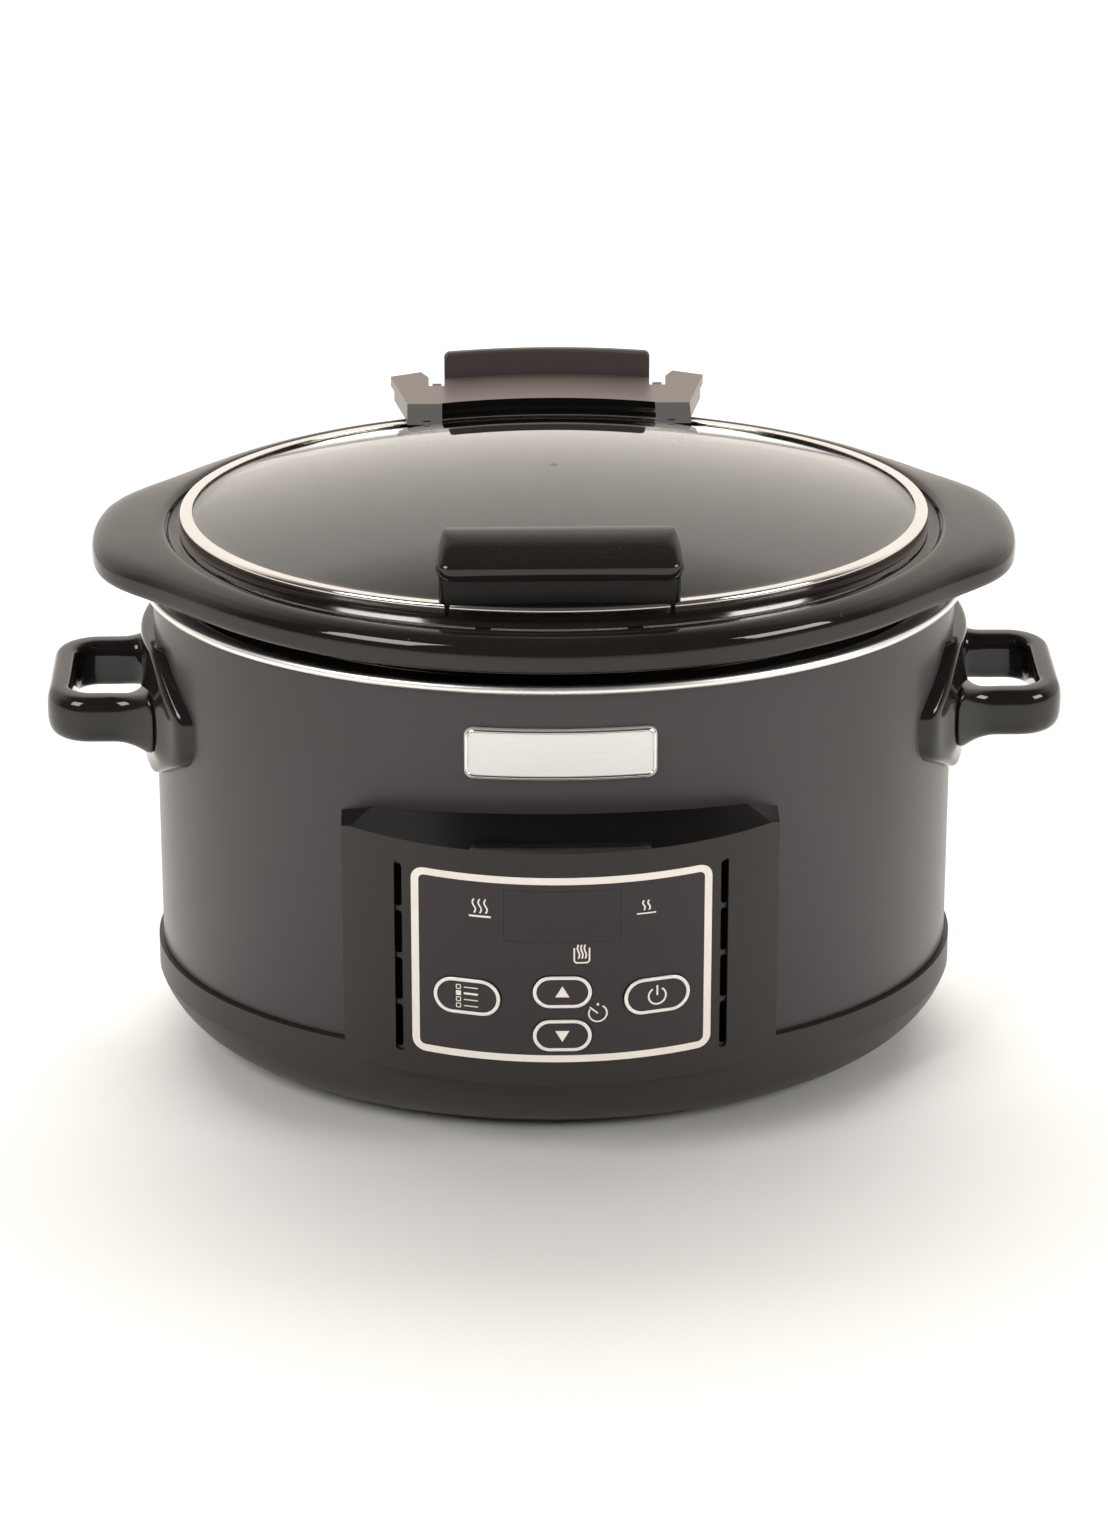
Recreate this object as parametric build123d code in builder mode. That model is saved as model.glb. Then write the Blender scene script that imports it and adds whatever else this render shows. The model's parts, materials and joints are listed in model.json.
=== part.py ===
"""Oval digital slow cooker with a hinged glass lid, about 420 x 314 x 256 mm.

Millimetres, +Z up, the front with the control panel towards -Y.
The origin is on the table, under the middle of the oval.
"""

import os
from math import asin, cos, radians, sin, sqrt

from build123d import *

os.makedirs("parts", exist_ok=True)

# ---------------------------------------------------------------- driving dimensions
SHELL_A = 166.0  # half the shell's width
SHELL_B = 128.0  # half the shell's depth
OVAL = SHELL_B / SHELL_A  # depth to width of the housing's ovals
SHEET = 0.8  # steel sheet
FOOT_HEIGHT = 5.0
SEAM_Z = 42.0  # where the shell meets the base
CREASE_Z = 29.0  # where the base's upright band turns into its bowl
SHELL_TOP = 199.2

BASE_A = 168.0
BASE_OVAL = 130.0 / BASE_A
BASE_WALL = 2.6

WELL_A = 158.0  # outside of the heating well
WELL_FLOOR = 62.0  # top of the well's floor

CROCK_GAP = 0.35  # the crock stands this much above the well's floor
RIM_A = 172.5  # crock's rim without its lugs
RIM_B = 141.0
RIM_LOW = 211.5
RIM_TOP = 223.0
LIP_TOP = 226.0  # raised inner edge of the crock's rim
LUG_REACH = 190.6
LUG_SWING = 17.5  # angle at which a lug has half its reach
CAVITY_A = 147.0
CAVITY_OVAL = 111.0 / CAVITY_A

LID_A = 154.2
LID_OVAL = 117.0 / LID_A
LID_LOW = 222.0
LID_TOP = 231.0
DOME_TOP = 249.5
GLASS = 3.6

PANEL_R = 134.0  # radius of the control panel's curved front
PANEL_FRONT = 157.0  # how far the panel stands in front of the middle
PANEL_Y = PANEL_R - PANEL_FRONT  # centre of that curve
PANEL_HALF = 87.0
PANEL_TOP = 143.5
PANEL_SLOPE = 0.155  # the top ledge rises towards the shell
PANEL_WALL = 2.5

FASCIA_WIDE = 119.0
FASCIA_TALL = 80.2
FASCIA_Z = 93.2
FASCIA_THICK = 1.8

HINGE_Y = 142.0
HINGE_Z = 233.0
PIN_R = 1.5
TOWER_FRONT = 153.0
TOWER_BACK = 157.0
TOWER_TOP = 247.5
TOWER_HALF = 45.0
ARCH_R = 187.0  # curve of the tower, seen from above
WEB_LOW = 228.0
WEB_TOP = 236.5

HANDLE_REACH = 210.0
HANDLE_LOW = 141.0
HANDLE_TOP = 161.0

# name, width, height, x along the front, z, stem length
BUTTONS = [
    ("button_menu", 27.4, 15.6, -37.6, 80.0, 9.4),
    ("button_up", 23.4, 13.8, 0.0, 84.0, 14.4),
    ("button_down", 23.4, 13.8, 0.0, 65.0, 14.4),
    ("button_power", 27.4, 15.6, 37.6, 80.0, 9.4),
]
BUTTON_GAP = 0.35
BUTTON_PROUD = 0.5


def turn_oval(ratio):
    """Turn the profile just drawn about Z, then squeeze it front to back into an oval."""
    revolve(axis=Axis.Z)
    scale(by=(1, ratio, 1))


def oval_wall(a_in, a_out, low, high):
    """Upright oval wall between two heights, given by its inner and outer half widths."""
    with BuildPart() as wall:
        with BuildSketch(Plane.XY.offset(low)):
            Ellipse(a_out, a_out * OVAL)
            Ellipse(a_in, a_in * OVAL, mode=Mode.SUBTRACT)
        extrude(amount=high - low)
    return wall.part


def oval_y(a, ratio, x):
    """Distance from the middle to an oval's edge along Y, at a given x."""
    return a * ratio * sqrt(1 - (x / a) ** 2)


def dome_z(r):
    """Height of the lid's top surface at a distance from its middle, along X."""
    dome_r = (148.0**2 + (DOME_TOP - LID_TOP + 1) ** 2) / (2 * (DOME_TOP - LID_TOP + 1))
    return DOME_TOP - dome_r + sqrt(dome_r**2 - r**2)


def panel_plane(x, z, out=0.0):
    """Plane that touches the panel's curved front at x, z, facing outwards."""
    turn = asin(x / PANEL_R)
    reach = PANEL_R + out
    place = (reach * sin(turn), PANEL_Y - reach * cos(turn), z)
    return Plane(origin=place, x_dir=(cos(turn), sin(turn), 0), z_dir=(sin(turn), -cos(turn), 0))


def front(y):
    """Upright plane across the object at a given y, facing the front."""
    return Plane.XZ.offset(-y)


# ================================================================ housing
# ---------------------------------------------------------------- base tray
STUD_X = 60.0
BOARD_POSTS = [(-70, -36), (30, -36), (-70, 36), (30, 36)]
BOARD_Z = 18.0
FEET = [(-95, -60), (95, -60), (-95, 60), (95, 60)]
TRAY_FLOOR = FOOT_HEIGHT + BASE_WALL

with BuildPart() as base_tray:
    with BuildSketch(Plane.XZ):
        with BuildLine():
            Line((0, FOOT_HEIGHT), (146, FOOT_HEIGHT))
            ThreePointArc((146, FOOT_HEIGHT), (159.5, 14.5), (BASE_A, CREASE_Z))
            Polyline(
                (BASE_A, CREASE_Z),
                (BASE_A, SEAM_Z - 0.6),
                (164.6, SEAM_Z - 0.6),
                (164.6, 48),
                (162.4, 48),
                (162.4, 38),
                (165.2, 36),
                (165.2, CREASE_Z + 0.6),
            )
            ThreePointArc((165.2, CREASE_Z + 0.6), (157.2, 16.4), (145, TRAY_FLOOR))
            Polyline((145, TRAY_FLOOR), (0, TRAY_FLOOR), (0, FOOT_HEIGHT))
        make_face()
    turn_oval(BASE_OVAL)
    with BuildSketch(Plane.XY.offset(TRAY_FLOOR - 0.2)):
        with Locations(*BOARD_POSTS):
            Circle(4)
    extrude(amount=BOARD_Z - TRAY_FLOOR + 0.2)
    with BuildSketch(Plane.XY.offset(BOARD_Z)):
        with Locations(*BOARD_POSTS):
            Circle(1.6)
    extrude(amount=-8, mode=Mode.SUBTRACT)
    with BuildSketch(Plane.XY.offset(FOOT_HEIGHT)):
        with Locations((-STUD_X, 0), (STUD_X, 0)):
            Circle(2.8)
        with Locations(*FEET):
            Circle(3.05)
        with Locations((-25, -72), (-25, 72)):
            with GridLocations(9, 1, 6, 1):
                SlotOverall(24, 3.5, rotation=90)
    extrude(amount=BASE_WALL, mode=Mode.SUBTRACT)
base_tray.part.label = "base_tray"
export_step(base_tray.part, "parts/base_tray.step")

# ---------------------------------------------------------------- feet
with BuildPart() as rubber_feet:
    with BuildSketch():
        with Locations(*FEET):
            Circle(9)
    extrude(amount=FOOT_HEIGHT)
    chamfer(rubber_feet.edges().group_by(Axis.Z)[0], 1)
    with BuildSketch(Plane.XY.offset(FOOT_HEIGHT)):
        with Locations(*FEET):
            Circle(3)
    extrude(amount=BASE_WALL)
    with BuildSketch(Plane.XY.offset(TRAY_FLOOR)):
        with Locations(*FEET):
            Circle(4.2)
    extrude(amount=1.6)
rubber_feet.part.label = "rubber_feet"
export_step(rubber_feet.part, "parts/rubber_feet.step")

# ---------------------------------------------------------------- painted outer shell
SHELL_WINDOW = 70.0  # half the width of the window behind the control panel
HANDLE_SCREWS = [(-32, 151), (32, 151)]
BRACKET_SCREWS = [(-30, 150), (30, 150), (-30, 185), (30, 185)]
PANEL_SCREWS = [(-78, 62), (78, 62), (-78, 124), (78, 124)]
GLAND_X = 50.0
GLAND_Z = 62.0

shell_wall = oval_wall(SHELL_A - SHEET, SHELL_A, SEAM_Z + 0.2, SHELL_TOP)

with BuildPart() as outer_shell:
    add(shell_wall)
    with BuildSketch(front(-90)):
        with Locations((0, 92)):
            RectangleRounded(2 * SHELL_WINDOW, 84, 6)
        with Locations(*PANEL_SCREWS):
            Circle(2)
    extrude(amount=60, mode=Mode.SUBTRACT)
    with BuildSketch(front(90)):
        with Locations(*BRACKET_SCREWS):
            Circle(2)
        with Locations((GLAND_X, GLAND_Z)):
            Circle(6.3)
    extrude(amount=-60, mode=Mode.SUBTRACT)
    with BuildSketch(Plane.YZ.offset(-200)):
        with Locations(*HANDLE_SCREWS):
            Circle(2)
    extrude(amount=400, mode=Mode.SUBTRACT)
outer_shell.part.label = "outer_shell"
export_step(outer_shell.part, "parts/outer_shell.step")

# ---------------------------------------------------------------- bright ring on the shell's top
with BuildPart() as trim_ring:
    with BuildSketch(Plane.XZ):
        with Locations((168.2, 201.3)):
            Circle(1.85)
        Polygon((160.5, 200.2), (168.2, 200.2), (168.2, 201.2), (160.5, 201.2), align=None)
    turn_oval(OVAL)
trim_ring.part.label = "trim_ring"
export_step(trim_ring.part, "parts/trim_ring.step")

# ---------------------------------------------------------------- heating well
PROBE_HOLE = 9.0

with BuildPart() as inner_well:
    with BuildSketch(Plane.XZ):
        Polygon(
            (PROBE_HOLE, WELL_FLOOR),
            (150, WELL_FLOOR),
            (WELL_A - SHEET, 70),
            (WELL_A - SHEET, 199.9),
            (164.6, 199.9),
            (164.6, 199.1),
            (WELL_A, 199.1),
            (WELL_A, 69.6),
            (150.4, WELL_FLOOR - SHEET),
            (PROBE_HOLE, WELL_FLOOR - SHEET),
            align=None,
        )
    turn_oval(OVAL)
inner_well.part.label = "inner_well"
export_step(inner_well.part, "parts/inner_well.step")


heater_band = oval_wall(158.3, 159.6, 78, 128)
heater_band.label = "heater_band"
export_step(heater_band, "parts/heater_band.step")

low_strap = oval_wall(159.9, 160.9, 84, 90)
high_strap = oval_wall(159.9, 160.9, 112, 118)

with BuildPart() as heater_straps:
    add(low_strap)
    add(high_strap)
heater_straps.part.label = "heater_straps"
export_step(heater_straps.part, "parts/heater_straps.step")

blanket = oval_wall(161.6, 164.6, 74, 140)

with BuildPart() as insulation_wrap:
    add(blanket)
    with BuildSketch(front(-80)):
        with Locations((0, 92)):
            Rectangle(170, 100)
    extrude(amount=80, mode=Mode.SUBTRACT)
insulation_wrap.part.label = "insulation_wrap"
export_step(insulation_wrap.part, "parts/insulation_wrap.step")

with BuildPart() as heat_shield:
    with BuildSketch(Plane.XY.offset(54)):
        Ellipse(156, 156 * OVAL)
        with Locations((-STUD_X, 0), (STUD_X, 0)):
            Circle(6.2, mode=Mode.SUBTRACT)
        Circle(7.4, mode=Mode.SUBTRACT)
        with Locations((-2, -118)):
            Rectangle(30, 16, mode=Mode.SUBTRACT)
    extrude(amount=SHEET)
heat_shield.part.label = "heat_shield"
export_step(heat_shield.part, "parts/heat_shield.step")

# ---------------------------------------------------------------- studs, spacers and nuts of the well
with BuildPart() as stud_spacers:
    with BuildSketch(Plane.XY.offset(TRAY_FLOOR)):
        with Locations((-STUD_X, 0), (STUD_X, 0)):
            Circle(6)
            Circle(2.8, mode=Mode.SUBTRACT)
    extrude(amount=WELL_FLOOR - SHEET - TRAY_FLOOR)
stud_spacers.part.label = "stud_spacers"
export_step(stud_spacers.part, "parts/stud_spacers.step")

with BuildPart() as tie_studs:
    with BuildSketch(Plane.XY.offset(1.2)):
        with Locations((-STUD_X, 0), (STUD_X, 0)):
            Circle(2.5)
    extrude(amount=WELL_FLOOR - SHEET - 1.2)
tie_studs.part.label = "tie_studs"
export_step(tie_studs.part, "parts/tie_studs.step")

with BuildPart() as stud_nuts:
    with BuildSketch(Plane.XY.offset(1.8)):
        with Locations((-STUD_X, 0), (STUD_X, 0)):
            RegularPolygon(4.6, 6)
            Circle(2.5, mode=Mode.SUBTRACT)
    extrude(amount=FOOT_HEIGHT - 1.8)
stud_nuts.part.label = "stud_nuts"
export_step(stud_nuts.part, "parts/stud_nuts.step")

# ---------------------------------------------------------------- temperature probe and thermal fuse
with BuildPart() as temperature_probe:
    with BuildSketch(Plane.XZ):
        Polygon((0, 48), (5, 48), (5, 57), (6.2, 57), (6.2, 63.2), (5.4, 63.9), (0, 63.9), align=None)
    revolve(axis=Axis.Z)
temperature_probe.part.label = "temperature_probe"
export_step(temperature_probe.part, "parts/temperature_probe.step")

with BuildPart() as probe_holder:
    with BuildSketch(Plane.XZ):
        Polygon((5.2, 46), (16, 46), (16, 47), (7.2, 47), (7.2, 53.8), (5.2, 53.8), align=None)
    revolve(axis=Axis.Z)
probe_holder.part.label = "probe_holder"
export_step(probe_holder.part, "parts/probe_holder.step")

with BuildPart() as thermal_fuse:
    with BuildSketch(Plane.YZ.offset(18)):
        with Locations((34, 58.2)):
            Circle(2.4)
    extrude(amount=16)
    with BuildSketch(Plane.YZ.offset(12)):
        with Locations((34, 58.2)):
            Circle(0.7)
    extrude(amount=28)
thermal_fuse.part.label = "thermal_fuse"
export_step(thermal_fuse.part, "parts/thermal_fuse.step")

# ---------------------------------------------------------------- power electronics in the base
with BuildPart() as power_board:
    with BuildSketch(Plane.XY.offset(BOARD_Z)):
        with Locations((-20, 0)):
            Rectangle(112, 84)
        with Locations(*BOARD_POSTS):
            Circle(1.8, mode=Mode.SUBTRACT)
        with Locations((-STUD_X, 0)):
            Circle(7, mode=Mode.SUBTRACT)
    extrude(amount=1.6)
power_board.part.label = "power_board"
export_step(power_board.part, "parts/power_board.step")

BOARD_TOP = BOARD_Z + 1.6

with BuildPart() as transformer:
    with BuildSketch(Plane.XY.offset(BOARD_TOP)):
        with Locations((-22, 8)):
            Rectangle(34, 28)
    extrude(amount=22)
    chamfer(transformer.edges().group_by(Axis.Z)[-1], 1.5)
transformer.part.label = "transformer"
export_step(transformer.part, "parts/transformer.step")

with BuildPart() as power_relay:
    with BuildSketch(Plane.XY.offset(BOARD_TOP)):
        with Locations((14, 12)):
            Rectangle(20, 16)
    extrude(amount=16)
    fillet(power_relay.edges().filter_by(Axis.Z), 1)
power_relay.part.label = "power_relay"
export_step(power_relay.part, "parts/power_relay.step")

with BuildPart() as terminal_block:
    with BuildSketch(Plane.XY.offset(BOARD_TOP)):
        with Locations((18, -20)):
            Rectangle(30, 12)
    extrude(amount=12)
    with BuildSketch(Plane.XY.offset(BOARD_TOP + 12)):
        with Locations((18, -20)):
            with GridLocations(9, 1, 3, 1):
                Circle(2.6)
    extrude(amount=-7, mode=Mode.SUBTRACT)
terminal_block.part.label = "terminal_block"
export_step(terminal_block.part, "parts/terminal_block.step")


def pan_screw(plane, places, shank_r, length, head_r, head):
    """Screws at places on a plane: head on the plane's back, shank along its normal."""
    with BuildPart() as screws:
        with BuildSketch(plane):
            with Locations(*places):
                Circle(shank_r)
        extrude(amount=length)
        with BuildSketch(plane):
            with Locations(*places):
                Circle(head_r)
        extrude(amount=-head)
    return screws.part


board_screws = pan_screw(-Plane.XY.offset(BOARD_TOP), [(x, -y) for x, y in BOARD_POSTS], 1.5, 8, 2.9, 2)
board_screws.label = "board_screws"
export_step(board_screws, "parts/board_screws.step")

# ---------------------------------------------------------------- gland for the mains lead, at the back
GLAND_Y = oval_y(SHELL_A, OVAL, GLAND_X)

with BuildPart() as cord_gland:
    with BuildSketch(front(GLAND_Y - 2.5)):
        with Locations((GLAND_X, GLAND_Z)):
            Circle(6)
    extrude(amount=-14)
    with BuildSketch(front(GLAND_Y + 3)):
        with Locations((GLAND_X, GLAND_Z)):
            Circle(9.5)
    extrude(amount=-2.5)
    with BuildSketch(front(GLAND_Y - 2.5)):
        with Locations((GLAND_X, GLAND_Z)):
            Circle(3.4)
    extrude(amount=-14, mode=Mode.SUBTRACT)
cord_gland.part.label = "cord_gland"
export_step(cord_gland.part, "parts/cord_gland.step")

# ================================================================ control panel
PANEL_AXIS = Axis((0, PANEL_Y, 0), (0, 0, 1))
PANEL_LOW = SEAM_Z + 0.3
LEDGE_END = 72.0  # the ledge slopes down beyond this, on each side
VENT_X = 64.5
VENT_Z = 92.5


def ledge_z(r):
    """Height of the panel's top ledge at a distance from the curve's centre."""
    return PANEL_TOP + (PANEL_R - r) * PANEL_SLOPE


with BuildPart() as panel_hollow:
    with BuildSketch(front(PANEL_Y)):
        Polygon(
            (0, PANEL_LOW + PANEL_WALL),
            (PANEL_R - PANEL_WALL, PANEL_LOW + PANEL_WALL),
            (PANEL_R - PANEL_WALL, ledge_z(PANEL_R) - PANEL_WALL),
            (0, ledge_z(0) - PANEL_WALL),
            align=None,
        )
    revolve(axis=PANEL_AXIS)
    with BuildSketch():
        with Locations((0, -130)):
            Rectangle(2 * (PANEL_HALF - PANEL_WALL), 80)
    extrude(amount=200, mode=Mode.INTERSECT)
    # lower towards both ends, under the ledge's sloping ends
    with BuildSketch(front(-90)):
        for side in (-1, 1):
            Polygon((side * (LEDGE_END - 6), 150), (side * (LEDGE_END - 6), 146), (side * PANEL_HALF, 139),
                    (side * PANEL_HALF, 150), align=None)
    extrude(amount=80, mode=Mode.SUBTRACT)

# shallow groove that joins the vent slots on each side
with BuildPart() as vent_groove:
    with BuildSketch(Plane(origin=(0, PANEL_Y, 40))):
        Circle(PANEL_R + 1)
        Circle(PANEL_R - 1.1, mode=Mode.SUBTRACT)
    extrude(amount=110)
    with BuildSketch(front(-100)):
        with Locations((-VENT_X, VENT_Z), (VENT_X, VENT_Z)):
            SlotOverall(83, 3.4, rotation=90)
    extrude(amount=80, mode=Mode.INTERSECT)

with BuildPart() as panel_housing:
    with BuildSketch(front(PANEL_Y)):
        Polygon(
            (0, PANEL_LOW),
            (PANEL_R, PANEL_LOW),
            (PANEL_R, PANEL_TOP),
            (0, ledge_z(0)),
            align=None,
        )
    revolve(axis=PANEL_AXIS)
    with BuildSketch():
        with Locations((0, -130)):
            Rectangle(2 * PANEL_HALF, 80)
    extrude(amount=200, mode=Mode.INTERSECT)
    add(panel_hollow.part, mode=Mode.SUBTRACT)
    # screw bosses reach from the shell to the front wall
    with BuildSketch(front(-104)):
        with Locations(*PANEL_SCREWS):
            Circle(4.5)
    extrude(amount=24)
    with BuildSketch(front(-104)):
        with Locations(*PANEL_SCREWS):
            Circle(1.7)
    extrude(amount=20, mode=Mode.SUBTRACT)
    # the back follows the shell
    with BuildSketch():
        Ellipse(SHELL_A + 0.05, SHELL_B + 0.05)
    extrude(amount=200, mode=Mode.SUBTRACT)
    # opening for the fascia, and the vent slots beside it
    with BuildSketch(front(-120)):
        with Locations((0, FASCIA_Z)):
            RectangleRounded(FASCIA_WIDE + 0.3, FASCIA_TALL + 0.3, 5.15)
        for side in (-1, 1):
            with Locations((side * VENT_X, VENT_Z)):
                with GridLocations(1, 20.5, 1, 4):
                    SlotOverall(18.5, 2.7, rotation=90)
    extrude(amount=50, mode=Mode.SUBTRACT)
    add(vent_groove.part, mode=Mode.SUBTRACT)
    # the ledge slopes down at both ends
    with BuildSketch(front(-90)):
        for side in (-1, 1):
            Polygon((side * LEDGE_END, 154), (side * LEDGE_END, 146.7), (side * (PANEL_HALF + 3), 141.7),
                    (side * (PANEL_HALF + 3), 154), align=None)
    extrude(amount=80, mode=Mode.SUBTRACT)
panel_housing.part.label = "panel_housing"
export_step(panel_housing.part, "parts/panel_housing.step")

WINDOW_WIDE = 46.0
WINDOW_TALL = 22.0
WINDOW_Z = 116.5


# ring of the panel's curve, which the fascia and the display window are cut from
with BuildPart() as curved_plate:
    with BuildSketch(Plane(origin=(0, PANEL_Y, 40))):
        Circle(PANEL_R)
        Circle(PANEL_R - FASCIA_THICK, mode=Mode.SUBTRACT)
    extrude(amount=110)

with BuildPart() as control_fascia:
    add(curved_plate.part)
    with BuildSketch(front(-100)):
        with Locations((0, FASCIA_Z)):
            RectangleRounded(FASCIA_WIDE, FASCIA_TALL, 5)
        with Locations((0, WINDOW_Z)):
            Rectangle(WINDOW_WIDE + 0.2, WINDOW_TALL + 0.2, mode=Mode.SUBTRACT)
    extrude(amount=80, mode=Mode.INTERSECT)
    for name, wide, tall, x, z, stem in BUTTONS:
        with BuildSketch(panel_plane(x, z, 4)):
            SlotOverall(wide + 2 * BUTTON_GAP, tall + 2 * BUTTON_GAP)
        extrude(amount=-12, mode=Mode.SUBTRACT)
control_fascia.part.label = "control_fascia"
export_step(control_fascia.part, "parts/control_fascia.step")

with BuildPart() as display_window:
    add(curved_plate.part)
    with BuildSketch(front(-100)):
        with Locations((0, WINDOW_Z)):
            Rectangle(WINDOW_WIDE, WINDOW_TALL)
    extrude(amount=80, mode=Mode.INTERSECT)
display_window.part.label = "display_window"
export_step(display_window.part, "parts/display_window.step")

# ---------------------------------------------------------------- buttons, each on its own slide
for name, wide, tall, x, z, stem in BUTTONS:
    with BuildPart() as button:
        with BuildSketch(panel_plane(x, z, BUTTON_PROUD)):
            SlotOverall(wide, tall)
        extrude(amount=-BUTTON_PROUD - 4)
        fillet(button.faces().sort_by(SortBy.DISTANCE)[-1].edges(), 0.4)
        with BuildSketch(panel_plane(x, z, -2.9)):
            SlotOverall(wide + 3, tall + 3)
        extrude(amount=-1.2)
        with BuildSketch(panel_plane(x, z, -4)):
            Circle(2.5)
        extrude(amount=-(stem - 4))
    button.part.label = name
    export_step(button.part, f"parts/{name}.step")

# ---------------------------------------------------------------- control electronics behind the fascia
BOARD_FRONT = -138.0

with BuildPart() as control_board:
    with BuildSketch(front(BOARD_FRONT + 1.6)):
        with Locations((0, 93)):
            RectangleRounded(106, 74, 2)
    extrude(amount=1.6)
control_board.part.label = "control_board"
export_step(control_board.part, "parts/control_board.step")

with BuildPart() as display_module:
    with BuildSketch(front(BOARD_FRONT)):
        with Locations((0, WINDOW_Z)):
            Rectangle(50, 25)
    extrude(amount=12.5)
display_module.part.label = "display_module"
export_step(display_module.part, "parts/display_module.step")

with BuildPart() as tact_switches:
    with BuildSketch(front(BOARD_FRONT)):
        for name, wide, tall, x, z, stem in BUTTONS:
            with Locations((x * (1 - stem / PANEL_R), z)):
                Rectangle(6.2, 6.2)
    extrude(amount=3)
tact_switches.part.label = "tact_switches"
export_step(tact_switches.part, "parts/tact_switches.step")

with BuildPart() as ribbon_cable:
    with BuildSketch(Plane.YZ.offset(-14)):
        with BuildLine():
            FilletPolyline((-136.2, 59), (-117, 59), (-113, 30), (-62, 30), (-62, 21.5), radius=4)
        trace(line_width=1)
    extrude(amount=24)
ribbon_cable.part.label = "ribbon_cable"
export_step(ribbon_cable.part, "parts/ribbon_cable.step")

panel_screws = pan_screw(front(-110.8), PANEL_SCREWS, 1.6, 12.5, 3.1, 1.9)
panel_screws.label = "panel_screws"
export_step(panel_screws, "parts/panel_screws.step")

# ---------------------------------------------------------------- blank badge on the shell's front
with BuildPart() as badge:
    with BuildSketch(Plane.XY.offset(150)):
        Ellipse(SHELL_A + 2.1, SHELL_B + 2.1)
        Ellipse(SHELL_A + 0.05, SHELL_B + 0.05, mode=Mode.SUBTRACT)
    extrude(amount=48)
    with BuildSketch(front(-90)):
        with Locations((0, 174)):
            RectangleRounded(76, 21, 3.5)
    extrude(amount=60, mode=Mode.INTERSECT)
badge.part.label = "badge"
export_step(badge.part, "parts/badge.step")

# ================================================================ side handles
with BuildPart() as handle_right:
    # flange that wraps the shell
    with BuildSketch(Plane.XY.offset(120)):
        Ellipse(SHELL_A + 5.5, SHELL_B + 5.5)
    extrude(amount=66)
    with BuildSketch(Plane.YZ.offset(100)):
        with BuildLine():
            Polyline((-34, 182), (34, 182), (58, 160), (58, 140), (32, 126), (-32, 126), (-58, 140),
                     (-58, 160), (-34, 182))
        make_face()
        fillet(vertices(), 6)
    extrude(amount=90, mode=Mode.INTERSECT)
    # grip loop
    with BuildSketch(Plane.XY.offset(HANDLE_LOW)):
        with Locations(((165 + HANDLE_REACH) / 2, 0)):
            Rectangle(HANDLE_REACH - 165, 76)
        fillet(vertices().group_by(Axis.X)[-1], 18)
        with Locations(((171.5 + 199.7) / 2, 0)):
            RectangleRounded(199.7 - 171.5, 52, 9, mode=Mode.SUBTRACT)
    extrude(amount=HANDLE_TOP - HANDLE_LOW)
    # seat on the shell, and pilot holes for the screws
    with BuildSketch(Plane.XY.offset(110)):
        Ellipse(SHELL_A + 0.05, SHELL_B + 0.05)
    extrude(amount=90, mode=Mode.SUBTRACT)
    with BuildSketch(Plane.YZ.offset(140)):
        with Locations(*HANDLE_SCREWS):
            Circle(1.95)
    extrude(amount=42, mode=Mode.SUBTRACT)
handle_right.part.label = "handle_right"
export_step(handle_right.part, "parts/handle_right.step")

with BuildPart() as handle_left:
    add(handle_right.part)
    mirror(about=Plane.YZ, mode=Mode.REPLACE)
handle_left.part.label = "handle_left"
export_step(handle_left.part, "parts/handle_left.step")

right_screws = pan_screw(Plane.YZ.offset(158.4), HANDLE_SCREWS, 1.9, 22, 3.4, 2.2)
with BuildPart() as handle_screws:
    add(right_screws)
    mirror(about=Plane.YZ)
handle_screws.part.label = "handle_screws"
export_step(handle_screws.part, "parts/handle_screws.step")

# ================================================================ hinge bracket on the back
ARM_IN = 46.2
ARM_OUT = 50.2
COLUMN_BACK = 150.0


def arch(thick):
    """Plan of a curved strip behind the hinge, its ends nearer the front than its middle."""
    outer_r = ARCH_R + TOWER_BACK - TOWER_FRONT
    with BuildSketch() as strip:
        with Locations((0, TOWER_BACK - outer_r)):
            Circle(outer_r)
            Circle(outer_r - thick, mode=Mode.SUBTRACT)
        with Locations((0, TOWER_BACK - 10)):
            Rectangle(2 * TOWER_HALF, 40, mode=Mode.INTERSECT)
    return strip.sketch


shelf_plan = arch(10)
tower_plan = arch(TOWER_BACK - TOWER_FRONT)

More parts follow.
